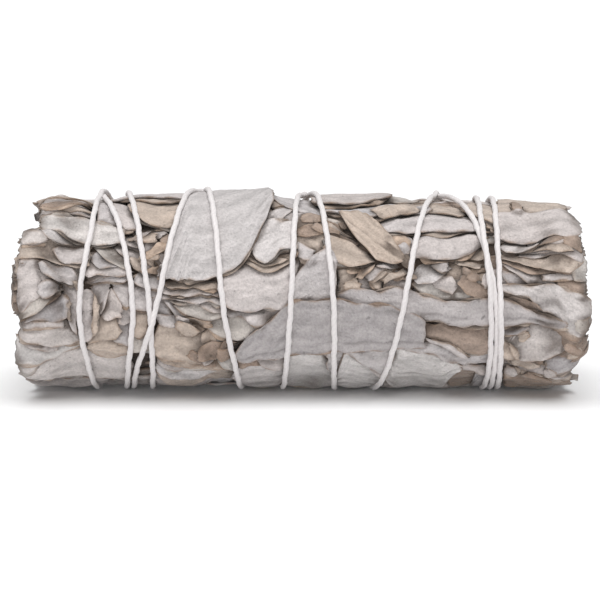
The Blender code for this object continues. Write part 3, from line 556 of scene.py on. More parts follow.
    ("", "l", 0.4, 0.3, ((-46, 8.7, 6.3), (-43.8, 9.1, 5.2), (-41.2, 9.3, 4.8), (-39, 9.3, 4.8))),
    ("", "o", 0.3, 0.2, ((-51.7, 8.1, 7.4), (-49.7, 8.7, 7.6), (-47.1, 8.9, 7.8))),
    ("", "p", 0.3, 0.3, ((-51.7, 10, 8.1), (-50.1, 10.5, 8.1), (-48.2, 10.5, 8.5), (-46.7, 10, 8.9))),
    ("", "l", 0.3, 0.3, ((-31.6, 1.1, -3.7), (-29.7, 1.3, -4.1), (-27.9, 0.6, -4.1),
        (-26.4, -0.7, -3.3))),
    ("", "c", 0.4, 0.5, ((-31.4, 3.5, 1.1), (-29, 3.7, 0.4), (-26.7, 3.1, -0.4), (-24.9, 1.9, -1.3))),
    ("", "m", 0.4, 0.3, ((-27.9, -1.3, -5.4), (-26.4, -1.1, -5.6), (-24.9, -1.9, -5.4),
        (-24.2, -3, -4.8))),
    ("", "t", 0.4, 0.6, ((-27.9, -5.7, -12.2), (-24.9, -6.5, -12.8), (-21.6, -7.6, -13),
        (-18.6, -8.3, -13), (-16.4, -8.9, -11.1))),
    ("", "b", 0.4, 0.3, ((-19.3, -10.9, -13.3), (-17.5, -10.5, -13.7), (-14.9, -10.9, -13.9))),
    ("", "l", 0.4, 0.3, ((-18.6, -11.7, -13.3), (-17.1, -11.3, -13.3), (-15.6, -11.8, -13.1))),
    ("", "g", 0.5, 0.5, ((-16.2, -8.5, -10.7), (-15.3, -8.5, -13.3), (-14.3, -9.3, -14.4),
        (-13.2, -11.1, -14.8), (-12.5, -13, -15))),
    ("", "t", 0.4, 0.3, ((-18.6, -8.5, -10.4), (-17.1, -8, -10.4), (-15.6, -8.5, -10.2))),
    ("", "g", 0.6, 0.6, ((-19, -5.2, -6.3), (-17.5, -4.8, -7.4), (-14.5, -4.4, -9.3),
        (-11.6, -4.4, -10), (-8.6, -5, -8.9), (-6.9, -5.9, -7.4))),
    ("", "t", 0.3, 0.3, ((-10.1, -4.6, -5.9), (-8.2, -5, -7), (-6.6, -5.9, -7.2))),
    ("", "c", 0.4, 0.5, ((-27.5, -5, -6.3), (-25.3, -5.2, -7), (-23.4, -5.2, -7.2),
        (-21.7, -4.8, -6.7))),
    ("", "c", 0.4, 0.5, ((-26, -0.9, -1.9), (-24.5, -1.5, -3.5), (-23, -2.4, -5.7), (-21.7, -3.9, -6.7),
        (-21.2, -5.2, -6.1))),
    ("", "g", 0.6, 0.5, ((-23.8, -1.9, -3), (-22.3, -1.9, -4.4), (-20.1, -1.9, -5.6),
        (-17.9, -1.9, -5.7), (-15.6, -2, -5.4), (-13.4, -3, -5))),
    ("", "l", 0.3, 0.3, ((-19.3, -2, -3), (-17.5, -1.7, -3.7), (-15.6, -2, -4.4), (-13.8, -3, -4.6))),
    ("", "l", 0.5, 0.4, ((-26, -0.6, -1.5), (-23.8, -0.6, -2), (-20.5, -0.7, -2.6), (-17.1, -0.7, -1.9),
        (-15.3, -1.1, -3), (-13.8, -1.7, -3.7))),
    ("", "l", 0.5, 0.5, ((-26, 0.7, -0.6), (-22.3, 0.9, -1.1), (-18.6, 0.9, -1.1), (-13.8, 0.7, -1.3))),
    ("", "t", 0.4, 0.4, ((-26, 1.7, 0.6), (-22.3, 1.9, 0.2), (-18.6, 1.9, 0.2), (-14.2, 2, 0))),
    ("", "l", 0.4, 0.3, ((-13.8, -3.5, -5.2), (-11.2, -3.7, -5.4), (-9, -3.9, -6.5), (-6.4, -3.7, -7),
        (-3.4, -3.3, -5.6), (-1.2, -2.4, -4.1))),
    ("leaf_middle_band", "l", 0.8, 0.7, ((-15.3, 2.6, -1.1), (-13.8, 4.1, -3.5), (-11.2, 5.2, -3.8),
        (-8.2, 5.2, -4.1), (-5.3, 5.2, -3.9), (-3.1, 5.9, -3.1), (-0.5, 6.3, -1.9))),
    ("", "l", 0.4, 0.3, ((-34.9, 9.3, 8.1), (-32.7, 9.3, 6.5), (-30.4, 8.7, 5.2), (-28.2, 8, 4.1))),
    ("", "t", 0.4, 0.4, ((-31.9, 6.3, 5.2), (-29.7, 5.9, 3.3), (-27.9, 5.2, 2.8))),
    ("", "l", 0.4, 0.4, ((-34.9, 11.7, 9.3), (-32.7, 11.5, 9.1), (-30.8, 10.9, 8.3), (-29, 9.8, 7.8))),
    ("", "t", 0.4, 0.4, ((-31.9, 13.3, 11.5), (-29.3, 13, 10.4), (-26.7, 12.8, 10),
        (-24.5, 12.2, 10.4))),
    ("", "p", 0.4, 0.4, ((-30.8, 11.3, 9.1), (-29.3, 11.1, 8.7), (-27.9, 10.5, 8.5))),
    ("", "t", 0.4, 0.4, ((-28.6, 12.2, 11.1), (-27.1, 12.6, 11.1), (-25.3, 12.6, 10.9))),
    ("", "l", 0.4, 0.4, ((-29, 9.3, 4.1), (-27.7, 10, 3.7), (-26.4, 9.6, 4.8))),
    ("", "o", 0.4, 0.4, ((-27.3, 8.1, 5.2), (-26, 9.3, 4.1), (-24.5, 8.1, 4.1))),
    ("", "t", 0.4, 0.4, ((-26.7, 5.2, 2.2), (-25.6, 5.2, 1.9), (-24.5, 4.4, 2.6))),
    ("", "b", 0.3, 0.3, ((-26, 11.1, 8.5), (-24.9, 11.5, 8.1), (-23.8, 10.4, 7.4))),
    ("", "t", 0.1, 0.2, ((-48.6, 13.7, 12.8), (-46, 14.6, 12.8), (-42.7, 15, 12.8), (-39.3, 15, 12.8),
        (-36.4, 15.2, 12.6))),
    ("", "l", 0.2, 0.3, ((-48.6, 14.4, 13.3), (-45.6, 14.6, 13.3), (-42.7, 15, 13.5),
        (-39.3, 15.5, 14.1))),
    ("", "t", 0.2, 0.4, ((-45.2, 15, 14.1), (-42.7, 15.5, 13.7), (-40.1, 16.1, 14.1),
        (-37.5, 16.3, 14.4))),
    ("", "p", 0.2, 0.3, ((-48.2, 14.8, 13.9), (-45.2, 15, 14.1), (-42.3, 15.5, 14.4), (-39, 16.1, 15))),
    ("", "b", 0.2, 0.4, ((-48.6, 15.4, 14.4), (-46, 15.4, 14.3), (-42.7, 15.9, 14.8),
        (-39, 16.3, 15.4))),
    ("", "l", 0.2, 0.3, ((-48.8, 16.5, 15), (-46.4, 16.5, 15.2), (-43, 16.7, 15.4),
        (-38.2, 16.8, 15.7))),
    ("", "t", 0.4, 0.4, ((-48.8, 17.2, 16.1), (-45.4, 17.4, 16.3), (-41.7, 17.2, 16.1),
        (-37.1, 17.2, 15.7), (-33.8, 17, 15.2))),
    ("", "l", 0.3, 0.3, ((-37.8, 16.3, 12), (-36, 16.7, 11.7), (-33.8, 16.3, 11.5),
        (-32.3, 15.5, 11.8))),
    ("", "l", 0.3, 0.3, ((-34.9, 17, 14.1), (-32.7, 17, 11.8), (-30.1, 16.7, 11.7))),
    ("", "p", 0.4, 0.2, ((-48.2, 11.1, 10), (-46.4, 11.1, 9.1), (-44.1, 10.7, 8.9), (-41.9, 10.2, 9.1),
        (-40.4, 9.4, 9.3))),
    ("leaf_upper_left_roll", "w", 0.4, 0.2, ((-48.2, 12.8, 10.7), (-46, 13.2, 10.7), (-42.7, 13.2, 9.8),
        (-39.3, 13.1, 9.1), (-36, 12.6, 8.9), (-32.7, 11.7, 8.9))),
    ("leaf_top_left", "t", 0.7, 0.7, ((-31.9, 17.4, 14.4), (-29.3, 17.6, 12.8), (-26.4, 17.6, 12.2),
        (-23.4, 17.8, 12.2), (-20.5, 17.8, 12.6), (-17.9, 17.8, 13.7))),
    ("", "c", 0.4, 0.4, ((-35.3, 18.9, 16.8), (-31.6, 19.1, 16.8), (-27.9, 19.2, 16.8),
        (-24.2, 19.2, 16.8), (-19.7, 19.1, 16.8))),
    ("", "t", 0.3, 0.3, ((6.9, 4.1, -0.4), (8.8, 4.1, -0.2), (10.8, 3.9, 0.2))),
    ("", "l", 0.4, 0.4, ((10.5, 4.1, -0.4), (12.1, 4.3, -0.7), (14, 4.1, -0.7), (15.5, 3.3, -0.6))),
    ("", "t", 0.3, 0.3, ((12.1, 4.4, 2.2), (13.6, 4.8, 0), (15.1, 4.4, -0.4))),
    ("", "l", 0.3, 0.3, ((15.5, 4.4, -0.4), (16.9, 4.4, -0.4), (18.8, 3.7, -0.4), (20.3, 3.3, -0.2))),
    ("", "t", 0.3, 0.3, ((26.6, 6.3, 3.3), (28.8, 6.3, 0), (30.6, 5.6, -1.5), (33.6, 4.1, -1.9),
        (35.4, 1.9, -1.9))),
    ("", "t", 0.3, 0.4, ((30.3, 5.2, 4.4), (32.5, 5.6, 4.6), (35.4, 5.7, 4.8))),
    ("", "o", 0.3, 0.4, ((30.6, 3.9, 3), (32.8, 4.1, 3.1), (35.8, 4.3, 3.1))),
    ("", "t", 0.3, 0.4, ((31, 2.6, 1.5), (33.2, 2.6, 1.5), (35.8, 2.6, 1.5))),
    ("", "b", 0.3, 0.4, ((29.9, 4.8, 2.2), (31, 3.7, 1.7), (32.1, 2.6, 1.1))),
    ("", "g", 0.4, 0.4, ((20.6, 1.9, -0.2), (23.6, 2.6, -1.1), (26.6, 3.1, -2), (29.5, 2.2, -2.4),
        (32.5, 0.7, -2.2))),
    ("", "l", 0.4, 0.4, ((24, 2.6, 0.7), (26.6, 3.1, -0.4), (28.8, 2.2, -0.7))),
    ("", "p", 0.3, 0.4, ((20.6, 4.4, 0.4), (22.5, 5.7, 0.9), (24.7, 6.5, 1.7), (26.9, 6.1, 2.8),
        (28, 5.4, 3.7))),
    ("", "c", 0.4, 0.4, ((24.3, 6.1, 4.8), (25.8, 6.3, 3), (27.3, 5.2, 3.3))),
    ("", "m", 0.4, 0.4, ((36.9, 3.7, 1.5), (39.9, 3.3, 0.4), (42.8, 2.6, -0.2), (45.8, 1.5, -0.6),
        (47.3, 0.4, -0.4))),
    ("", "l", 0.3, 0.4, ((36.9, 5.6, 3.7), (39.9, 5, 2.8), (42.8, 4.1, 1.3), (45.8, 2.8, 0.4),
        (47.7, 1.5, 0))),
    ("", "b", 0.3, 0.3, ((47.3, 2.2, -1.1), (49.1, 2, -1.5), (51, 1.7, -1.7), (52.5, 1.1, -1.3))),
    ("", "l", 0.4, 0.4, ((44.7, 3.5, 1.9), (47.3, 3.5, 1.7), (49.5, 3.7, 1.7), (51.2, 3.9, 2.2))),
    ("", "b", 0.3, 0.4, ((36.9, 6.3, 5.2), (40.6, 5.6, 3.9), (44.3, 4.4, 2.8), (48, 4.6, 3),
        (51.7, 4.8, 3.1))),
    ("", "g", 0.3, 0.3, ((50.2, 5.9, 1.5), (51.7, 6.1, 1.1), (53, 5.7, 1.3))),
    ("", "t", 0.5, 0.6, ((36.9, 7.4, 6.1), (39.9, 7.2, 5.4), (43.2, 6.8, 4.3), (46.5, 6.3, 3.3),
        (49.5, 6.3, 3.3), (52.1, 6.1, 4.3))),
    ("", "l", 0.4, 0.5, ((40.6, 7.8, 7), (43.6, 8, 6.7), (46.5, 7.8, 6.3), (49.5, 7.8, 5.7),
        (52.1, 7, 5))),
    ("", "t", 0.4, 0.5, ((41.4, 8.7, 7.8), (44.3, 8.7, 7.4), (47.3, 8.7, 7), (50.2, 8.5, 6.7))),
    ("", "b", 0.3, 0.3, ((43.6, 9.4, 8.7), (46.2, 9.6, 8.7), (48.8, 9.8, 8.9), (51, 9.8, 8.5))),
    ("", "p", 0.5, 0.5, ((36.9, 9.8, 7.4), (39.5, 9.8, 7.4), (41.7, 9.6, 7.8), (44, 9.4, 8.3))),
    ("", "b", 0.3, 0.2, ((48.4, 9.6, 7.8), (50.1, 10, 7.4), (51.9, 10, 7))),
    ("leaf_right_ragged", "p", 0.6, 0.8, ((36.9, 0.6, -0.4), (39.9, 1.1, -0.7), (42.5, 1.1, -2),
        (44.9, 0.9, -4.1), (47.3, 0.6, -5), (49.5, 0, -7.8), (51.4, -0.7, -8.1), (52.8, -1.3, -7.2),
        (53.9, -1.9, -5.6))),
    ("", "g", 0.4, 0.4, ((50.6, -5.2, -7), (51.9, -5.2, -8.1), (53.2, -4.8, -7.6))),
    ("", "b", 0.2, 0.2, ((38, -0.9, -2), (40.6, -1.5, -3.3), (43.2, -2.6, -4.6), (45.4, -4.1, -5.2))),
    ("", "o", 0.3, 0.3, ((22.5, -8.1, -9.4), (25.8, -7.8, -9.8), (28.4, -7.2, -11.1), (31, -7, -12.2),
        (35.4, -7, -12.4))),
    ("", "o", 0.3, 0.3, ((28, -9.6, -11.5), (29.9, -9.8, -12.6), (32.5, -10.4, -12.9),
        (35.4, -11.1, -13))),
    ("", "b", 0.1, 0.2, ((22.9, -7, -9.1), (25.8, -7, -9.4), (28.4, -7.2, -10.5), (31, -7.2, -11.5),
        (35.4, -7.2, -11.8))),
    ("", "c", 0.1, 0.2, ((22.9, -9.1, -10), (25.4, -9.3, -10.4), (27.7, -9.8, -11.5),
        (29.5, -10.9, -12.8), (31.4, -12.4, -13.1))),
    ("", "m", 0.3, 0.3, ((36.9, -7.6, -8.9), (39.5, -7.6, -8.5), (42.5, -7.4, -8.1))),
    ("leaf_long_right", "m", 0.7, 0.7, ((6.6, -0.6, -2.2), (10.1, 0, -3), (14.7, 0, -3.7),
        (18.4, 0.4, -4.3), (20.3, -0.2, -5.2), (22.1, -0.7, -6.1), (25.8, -1.9, -6.3),
        (28.6, -2.3, -6.6), (31.4, -1.9, -6.8), (35.1, -1.5, -7), (37.8, -1.9, -7), (40.6, -3.1, -6.8),
        (44.3, -4.8, -6.8), (47.3, -5.4, -6.8), (49.1, -5.7, -6.5))),
    ("", "b", 0.3, 0.3, ((-0.8, 13.7, 12.6), (2.1, 13.5, 11.1), (5.1, 13.1, 10.4), (8.4, 12.4, 10))),
    ("", "b", 0.3, 0.3, ((3.2, 11.5, 9.6), (6.2, 11.1, 8.7), (9.2, 10.5, 8.1), (10.6, 9.8, 8.5))),
    ("", "t", 0.3, 0.3, ((4.3, 12.2, 11.3), (6.9, 12, 10.9), (9.5, 11.5, 10.4))),
    ("", "l", 0.4, 0.4, ((-5.3, 14.4, 12.6), (-3.1, 15.2, 12.2), (-0.8, 14.8, 12.6),
        (1.8, 14.4, 13.3))),
    ("", "l", 0.4, 0.5, ((-7.1, 13.1, 12.2), (-5.6, 14.3, 12.2), (-3.4, 15, 12.6), (-1.2, 15.4, 14.1))),
    ("", "t", 0.4, 0.3, ((-5.6, 16.8, 15.2), (-4.5, 16.8, 14.6), (-3.1, 16.5, 15))),
    ("", "c", 0.5, 0.5, ((-6, 18.5, 15.5), (-3.4, 18.7, 15.4), (-0.8, 18.3, 14.1), (1.8, 17.4, 13.1),
        (4.7, 16.1, 13))),
    ("", "t", 0.5, 0.5, ((-1.2, 12.6, 7.4), (0.6, 13, 5.6), (2.9, 12.4, 4.8), (4.7, 11.3, 4.8),
        (6.6, 9.8, 4.8))),
    ("", "l", 0.3, 0.3, ((-0.8, 9.3, 6.3), (0.6, 8.7, 5.4), (2.5, 7.6, 5.4))),
    ("", "t", 0.6, 0.6, ((4, 10, 5.2), (6.6, 9.8, 4.8), (9.2, 9.3, 4.8), (11.4, 8.1, 4.8),
        (13.6, 6.3, 4.8))),
    ("", "t", 0.4, 0.4, ((12.1, 13.7, 10.4), (14.7, 12.8, 8.5), (17.3, 11.7, 7.4), (19.9, 10.9, 6.8),
        (21.7, 10.2, 7))),
    ("", "l", 0.4, 0.4, ((15.8, 10.7, 8.1), (17.9, 10.4, 6.7), (19.9, 10, 5.9), (21.7, 9.6, 6.1))),
    ("leaf_pillow", "l", 0.8, 0.3, ((20.6, 10, 6.1), (22.1, 10.7, 5.8), (24.7, 11.1, 5.8),
        (26.9, 10.5, 5.8), (29.1, 10.9, 6.1), (31.4, 11.3, 6.8), (32.8, 10.9, 7.8), (34, 10, 8.9))),
    ("", "l", 0.7, 0.6, ((13.2, 12.6, 11.5), (16.2, 14.1, 10.4), (19.2, 14.8, 10.2), (22.1, 15.2, 10.9),
        (24.7, 15.5, 11.1), (27.3, 15.4, 10.4), (29.9, 15.2, 10.9), (32.8, 15, 11.7),
        (36.6, 14.8, 12))),
    ("", "t", 0.4, 0.4, ((22.1, 17, 15.2), (24.7, 17, 15), (27.7, 16.8, 14.3), (30.6, 16.3, 13.7))),
    ("", "t", 0.3, 0.3, ((34.3, 16.7, 12.2), (36.2, 16.3, 11.5), (38, 15.5, 11.5))),
    ("", "t", 0.4, 0.4, ((29.9, 17.2, 14.8), (33.2, 17, 13.3), (35.8, 16.8, 12.6), (38.4, 16.5, 12.6))),
    ("", "l", 0.4, 0.4, ((16.2, 16.8, 15.5), (19.2, 16.8, 15.2), (22.1, 16.8, 14.8),
        (24.3, 16.7, 14.6))),
    ("", "c", 0.5, 0.5, ((4, 15.5, 14.3), (7.3, 15.9, 14.3), (10.6, 16.3, 14.1), (13.6, 16.5, 13.7),
        (16.9, 16.5, 14.3), (19.9, 16.3, 15), (21.7, 16.1, 15.5))),
    ("", "t", 0.4, 0.4, ((12.9, 15, 13.7), (15.5, 15.5, 13.1), (18.4, 15.7, 14.1), (22.1, 15.7, 14.8))),
    ("leaf_top_ridge", "l", 0.6, 0.7, ((1.8, 18.9, 16.1), (4.7, 19.1, 15.6), (8.1, 19.2, 15.8),
        (11.4, 19.2, 16.3), (14.3, 19.2, 16.7), (16.7, 18.9, 17))),
    ("", "t", 0.2, 0.5, ((36.2, 18.1, 14.3), (40.3, 18, 14.4), (44, 17.4, 14.4), (46.9, 17, 14.4),
        (49.1, 16.5, 14.4))),
    ("", "b", 0.3, 0.2, ((38.8, 16.1, 14.8), (39.9, 16.1, 14.6), (41, 15.7, 14.8))),
    ("leaf_upper_right_roll", "l", 1.0, 0.8, ((35.8, 14.1, 10), (38.4, 14.6, 9.6), (41.4, 15, 9.4),
        (45.2, 15.2, 9.4), (48, 15.2, 9.5), (50.2, 14.6, 9.6), (51.9, 13.5, 10.2))),
    ("leaf_tan_slanting", "t", 0.6, 0.7, ((7.1, 14.6, 14.3), (8.8, 14.8, 12.2), (10.5, 14.8, 9.6),
        (12.1, 14.3, 7.8), (14, 13, 5.4), (15.8, 10.7, 5.2), (17.7, 8.1, 5.2), (19, 6.5, 5.4))),
    ("leaf_pointing_up", "c", 0.5, 0.4, ((-2.3, -1.3, -3), (-0.8, 3.3, -3.3), (0.6, 5, -3.3),
        (2.1, 6.1, -3.3), (3.6, 7.2, -3.1), (4.9, 7.6, -3), (6, 7, -2.8), (6.6, 5.2, -2.4))),
    ("leaf_front_broad", "m", 0.5, 0.7, ((-12.3, -11.7, -13.3), (-10.3, -9.4, -13.3), (-7.1, -6.7, -13),
        (-3.8, -3.9, -12.6), (-1.4, -2.4, -12.4), (2.7, -1.9, -11.8), (7.3, -2, -11.4),
        (12.9, -2.8, -11.3), (16.9, -3, -11.2), (19.2, -4.1, -11.2), (21.2, -4.4, -11.2),
        (23, -5.7, -11))),
    ("", "l", 0.3, 0.3, ((-5.3, 8.1, 7.4), (-3.1, 8.1, 7.4), (-0.5, 8.3, 7.4))),
    ("", "t", 0.3, 0.3, ((-4.5, 7, 6.3), (-2.7, 7, 6.3), (-0.5, 7, 6.3))),
    ("", "t", 0.4, 0.6, ((-11.2, 6.3, 5.2), (-9.3, 6.5, 4.1), (-7.5, 5.4, 3.3), (-5.3, 5.7, 3.7),
        (-3.1, 6.3, 4.4), (-0.8, 6.7, 5.2))),
    ("", "t", 0.3, 0.3, ((-10.5, 7, 6.1), (-8.6, 6.3, 4.8), (-6.8, 5.6, 4.4), (-4.5, 6.5, 5.2),
        (-2.3, 6.7, 5.7))),
    ("", "p", 0.6, 0.6, ((-9.3, 11.5, 7), (-8.2, 12.2, 5.6), (-6.4, 12.6, 5), (-4.9, 12.6, 5.9),
        (-3.8, 12.6, 7.4), (-0.8, 12.6, 7.6))),
    ("leaf_top_broad", "p", 0.6, 0.5, ((-25.4, 7, 2), (-24.2, 10.7, 1.9), (-22.7, 14.8, 1.9),
        (-20.5, 18.1, 1.9), (-17.5, 19.2, 1.9), (-14.5, 19.8, 2.8), (-11.9, 20.2, 4.3),
        (-9.7, 20.4, 6.7), (-7.9, 20.5, 10.4), (-6.4, 20.7, 12.6), (-5.1, 20.7, 15.4))),
)

# The most crumpled leaf, and where across a leaf its midrib runs, from -1 to 1.
CRUMPLED = {"leaf_right_ragged": 0.3}
RIBS = {
    "leaf_front_broad": 0.62, "leaf_low_right": 0.1, "leaf_long_right": 0.35,
    "leaf_middle_band": -0.14, "leaf_tan_slanting": 0.2,
}

# Small broken leaves fill the gaps between these. They go in just before the leaf named here,
# each lot inside a box of the drawing (least and greatest x, least and greatest height), with
# how many there are and of what kinds.
CRUMBS = {
    "leaf_low_right_end": ((38.0, 49.5, -16.6, -12.6, 9, "tbtlo"),),
    "leaf_left_end_upper": ((-50.5, -47.0, 9.2, 11.0, 6, "otp"),),
    "leaf_middle_band": (
        (-22.5, -12.8, -8.6, -6.4, 5, "ottl"), (-20.0, -13.5, -13.2, -10.4, 4, "bbt"),
    ),
    "leaf_top_left": ((-31.5, -24.2, 3.4, 12.4, 14, "otltlt"),),
    "leaf_right_ragged": ((49.5, 53.0, -11.6, -7.0, 6, "btb"),),
    "leaf_long_right": (
        (7.0, 21.8, 0.2, 5.2, 12, "tlttot"), (29.8, 35.4, -0.4, 8.4, 6, "tlbtt"),
    ),
    "leaf_pillow": ((0.5, 10.5, 8.6, 13.2, 4, "btb"), (16.5, 22.0, 5.0, 9.0, 5, "ottl")),
}
SPARE_SHARE = 0.6
NEAR_END = 49
SLENDER = 1.3
LONGEST_POINTED = 12
CURLED = 0.65
FLAT_SHARE = 0.3
BROAD_CRINKLE = 0.17
SMALL_CRINKLE = 0.25
FRONT_DETAIL = 1.3


def scatter_crumbs(low_x, high_x, low, high, count, kinds):
    """Lays small broken bits of leaf in a box of the drawing, mostly within 60 degrees of level.

    Each has four places along it, 0.3 to 1.8 mm wide at random to either side.
    """
    for _ in range(count):
        x, angle = from_front(draw.uniform(low_x, high_x), draw.uniform(low, high))
        heading, half = math.radians(draw.normal(0, 30)), draw.uniform(1.0, 2.8)
        wide = draw.uniform(0.7, 1.5) * draw.uniform(0.7, 1.2, (2, 4)) * (0.6, 1, 1, 0.6)
        forward = half * np.linspace(-1, 1, 4) + draw.uniform(-0.4, 0.4, (2, 4))
        aside = np.stack([wide[0], -wide[1]])
        spot_x = x + forward * math.cos(heading) - aside * math.sin(heading)
        spot_rise = forward * math.sin(heading) + aside * math.cos(heading)
        spot_angle = angle + spot_rise / ARC_PER_DEGREE
        edges = np.stack([spot_x[0], spot_angle[0], spot_x[1], spot_angle[1]], -1)
        kind = str(draw.choice(list(kinds)))
        lay_leaf(sprig_at(angle), edges, kind, 0.0, 0.35, SMALL_CRINKLE, FRONT_DETAIL)


# The cut tips at the two ends come first, browned and ragged, two deep all over the front.
for side in (-1, 1):
    for angle in np.repeat(np.arange(-58, 80, 4.4), 2):
        outer = reach_at(side, angle) + side * draw.uniform(-0.6, 0.3)
        inner = outer - side * draw.uniform(5, 9)
        edges = leaf_edges(
            (outer, angle + draw.normal(0, 2)), (inner, angle), draw.uniform(1.2, 2.5), 0.2, 0.9
        )
        lay_leaf(sprig_at(angle), edges, str(draw.choice(list("tbtob"))), 0.3, 0.2, 0.7)

# Only small slender leaves away from the ends are pointed, and only a curled one keeps its roll.
# Under six in ten of them another leaf shows along the lower edge.
for name, kind, roll, lip, places in FRONT_LEAVES:
    for crumbs in CRUMBS.get(name, ()):
        scatter_crumbs(*crumbs)
    x, top, bottom = np.array(places, float).T
    inside = np.abs(x).max() < NEAR_END
    slender = SLENDER * (top - bottom).max() < x.max() - x.min() < LONGEST_POINTED
    pointed = inside and not name and slender
    if draw.random() < SPARE_SHARE:
        spare = draw.uniform(0.2, 0.75) * (0.7 + 0.5 * np.cos(x * draw.uniform(0.2, 0.6)))
        below = np.stack([*from_front(x, top + 0.2), *from_front(x, bottom - spare)], -1)
        under_kind = str(draw.choice(list("tttblog")))
        lay_leaf(sprig_at(below[:, 3].mean()), below, under_kind, 0.3, 0.3, 0.4, 1.0, None, inside)
    edges = np.stack([*from_front(x, top), *from_front(x, bottom)], -1)
    piece = name or sprig_at(edges[:, [1, 3]].mean())
    crinkle = CRUMPLED.get(name, BROAD_CRINKLE if name else SMALL_CRINKLE)
    roll = roll if roll > CURLED else FLAT_SHARE * roll
    lay_leaf(piece, edges, kind, roll, lip, crinkle, FRONT_DETAIL, RIBS.get(name), pointed)

# The cut ends
# The roll is cut off at both ends. Its face shows the cut edges of hundreds of folded leaves,
# packed in rough rings, browned where they were cut. Each is a strip that runs into the roll.

# Each ring has its radius in mm and how many strips share it.
END_RINGS = (
    (2.6, 2), (4.1, 3), (5.6, 5), (7.0, 6), (8.4, 7), (9.8, 9), (11.2, 10), (12.6, 12), (13.9, 13),
    (15.0, 14),
)
STRIP_START = 40
STRIP_THICKNESS = 0.42
MIDDLE_SPRIG_RADIUS = 6.3
loose = []


def end_strip(side, ring, start, spread):
    """A strip of leaf: s runs round the axis, w along it; radius = ring + two sine waves.

    It starts inside the roll and its outer end is ragged by a sine wave along s.
    """
    s = np.linspace(0, 1, max(int(spread * math.radians(ring) / 0.4), 8))[:, None]
    w = np.linspace(0, 1, 7)[None, :]
    waves = sum(
        draw.uniform(0.25, 0.6) * np.sin(s * draw.uniform(4, 16) + draw.uniform(0, 6.3))
        for _ in range(2)
    )
    radius = np.clip(ring + waves + draw.normal(0, 0.25) * w, 0.5, 15.6)
    angle = start + spread * s + draw.normal(0, 5) * w
    ragged = draw.uniform(0.0, 2.2) + 0.35 * np.sin(s * draw.uniform(6, 20) + draw.uniform(0, 6.3))
    reach = abs(reach_at(side, start + spread / 2)) if ring > 9 else 50.3
    tip = reach - np.clip(ragged, 0, 3)
    run = tip - STRIP_START
    x = side * (STRIP_START + run * w + 0 * s)
    rim = (1 - w) * run + 0 * s
    along, across = run * w + 0 * s, math.radians(spread) * ring * s + 0 * w
    kind = str(draw.choice(list("lgttbp")))
    outer = ring > MIDDLE_SPRIG_RADIUS
    piece = sprig_at(start + spread / 2) if outer else "sprig_middle_leaves"
    place = (x, angle + 0 * w, radius + 0 * w, along, across, rim)
    loose.append((piece, kind, *place, STRIP_THICKNESS, 0 * x, draw.normal(0, 1, 3)))


for side in (-1, 1):
    for ring, count in END_RINGS:
        first = draw.uniform(0, 360)
        for n in range(count):
            end_strip(side, ring, first + 360 / count * n, 360 / count * draw.uniform(0.75, 1.1))

# From laid leaves to pieces
# Every leaf becomes a closed sheet, and the leaves of one piece are one mesh. A leaf's colour is
# its kind's, browned along its rim, with painted shade where it lies deep between others.
bed_level = smoothed(bed, LEVEL_REACH)
# These two maps serve only the painted shade in shaded(), below.
bed_mean = smoothed(bed, 0.9)
beside_bed = bed.copy()
for step_x, step_angle in ((0, 1), (0, -1), (1, 0), (-1, 0), (1, 1), (1, -1), (-1, 1), (-1, -1)):
    beside_bed = np.maximum(beside_bed, np.roll(bed, (step_x, step_angle), (0, 1)))
beside_bed = smoothed(beside_bed, 0.14)


def leaf_colour(kind, along, across, rim, wrinkles, tone):
    """Kind's colour * (1 + small random tone), mixed with brown at its rim.

    Creases get painted shade, and crests a little painted light.
    """
    base = np.array(PALETTE[kind]) * (1 + 0.035 * tone[0])
    base = base * (1 + np.array((0.01, 0.0, -0.01)) * tone[1])
    patches = np.cos(along * 0.55 + tone[0] * 5) * np.cos(across * 0.9 + tone[2] * 4)
    # Painted shade in the creases, up to 20 %, and painted light on the crests, up to 6 %.
    colour = base * (1 + 0.05 * patches + np.clip(wrinkles / 0.6, -0.2, 0.06))[..., None]
    rim_share = np.exp(-((rim / 0.30) ** 2)) * (0.42 + 0.34 * np.cos(along * 1.7 + 3 * tone[2]))
    return colour + (RIM_BROWN - colour) * np.clip(rim_share, 0, 1)[..., None]


def shaded(colour, x, angle, radius):
    """Painted shade: darkened by how deep a place lies under the mean level, and under the step beside
    it.

    The step's painted shade comes and goes over some 8 mm, so that some gaps are paler.
    """
    uneven = 0.55 + 0.25 * np.cos(0.9 * x + 0.11 * angle) + 0.25 * np.cos(0.55 * x - 0.24 * angle)
    depth = np.clip((read_map(bed_mean, x, angle) - radius - 0.4) / 1.2, 0, 1)
    step = np.clip((read_map(beside_bed, x, angle) - radius - 0.2) / 0.35, 0, 1)
    shade = 1 - (1 - 0.52 * depth) * (1 - 0.84 * step * uneven)
    return colour + (GAP_SHADE_BROWN - colour) * shade[..., None]


def closed_sheet(x, angle, radius, thickness):
    """Points and quads of a sheet: the outer grid, and an inner one that shares its border."""
    rows, columns = x.shape
    outer = np.arange(rows * columns).reshape(rows, columns)
    inner = outer.copy()
    inner[1:-1, 1:-1] = rows * columns + np.arange((rows - 2) * (columns - 2)).reshape(
        rows - 2, columns - 2
    )
    inside = on_stick(x, angle, radius - thickness)[1:-1, 1:-1].reshape(-1, 3)
    points = np.concatenate([on_stick(x, angle, radius).reshape(-1, 3), inside])
    quads = []
    for grid, way in ((outer, 1), (inner, -1)):
        corners = [grid[:-1, :-1], grid[1:, :-1], grid[1:, 1:], grid[:-1, 1:]][::way]
        quads.append(np.stack([corner.ravel() for corner in corners], -1))
    return points, np.concatenate(quads)


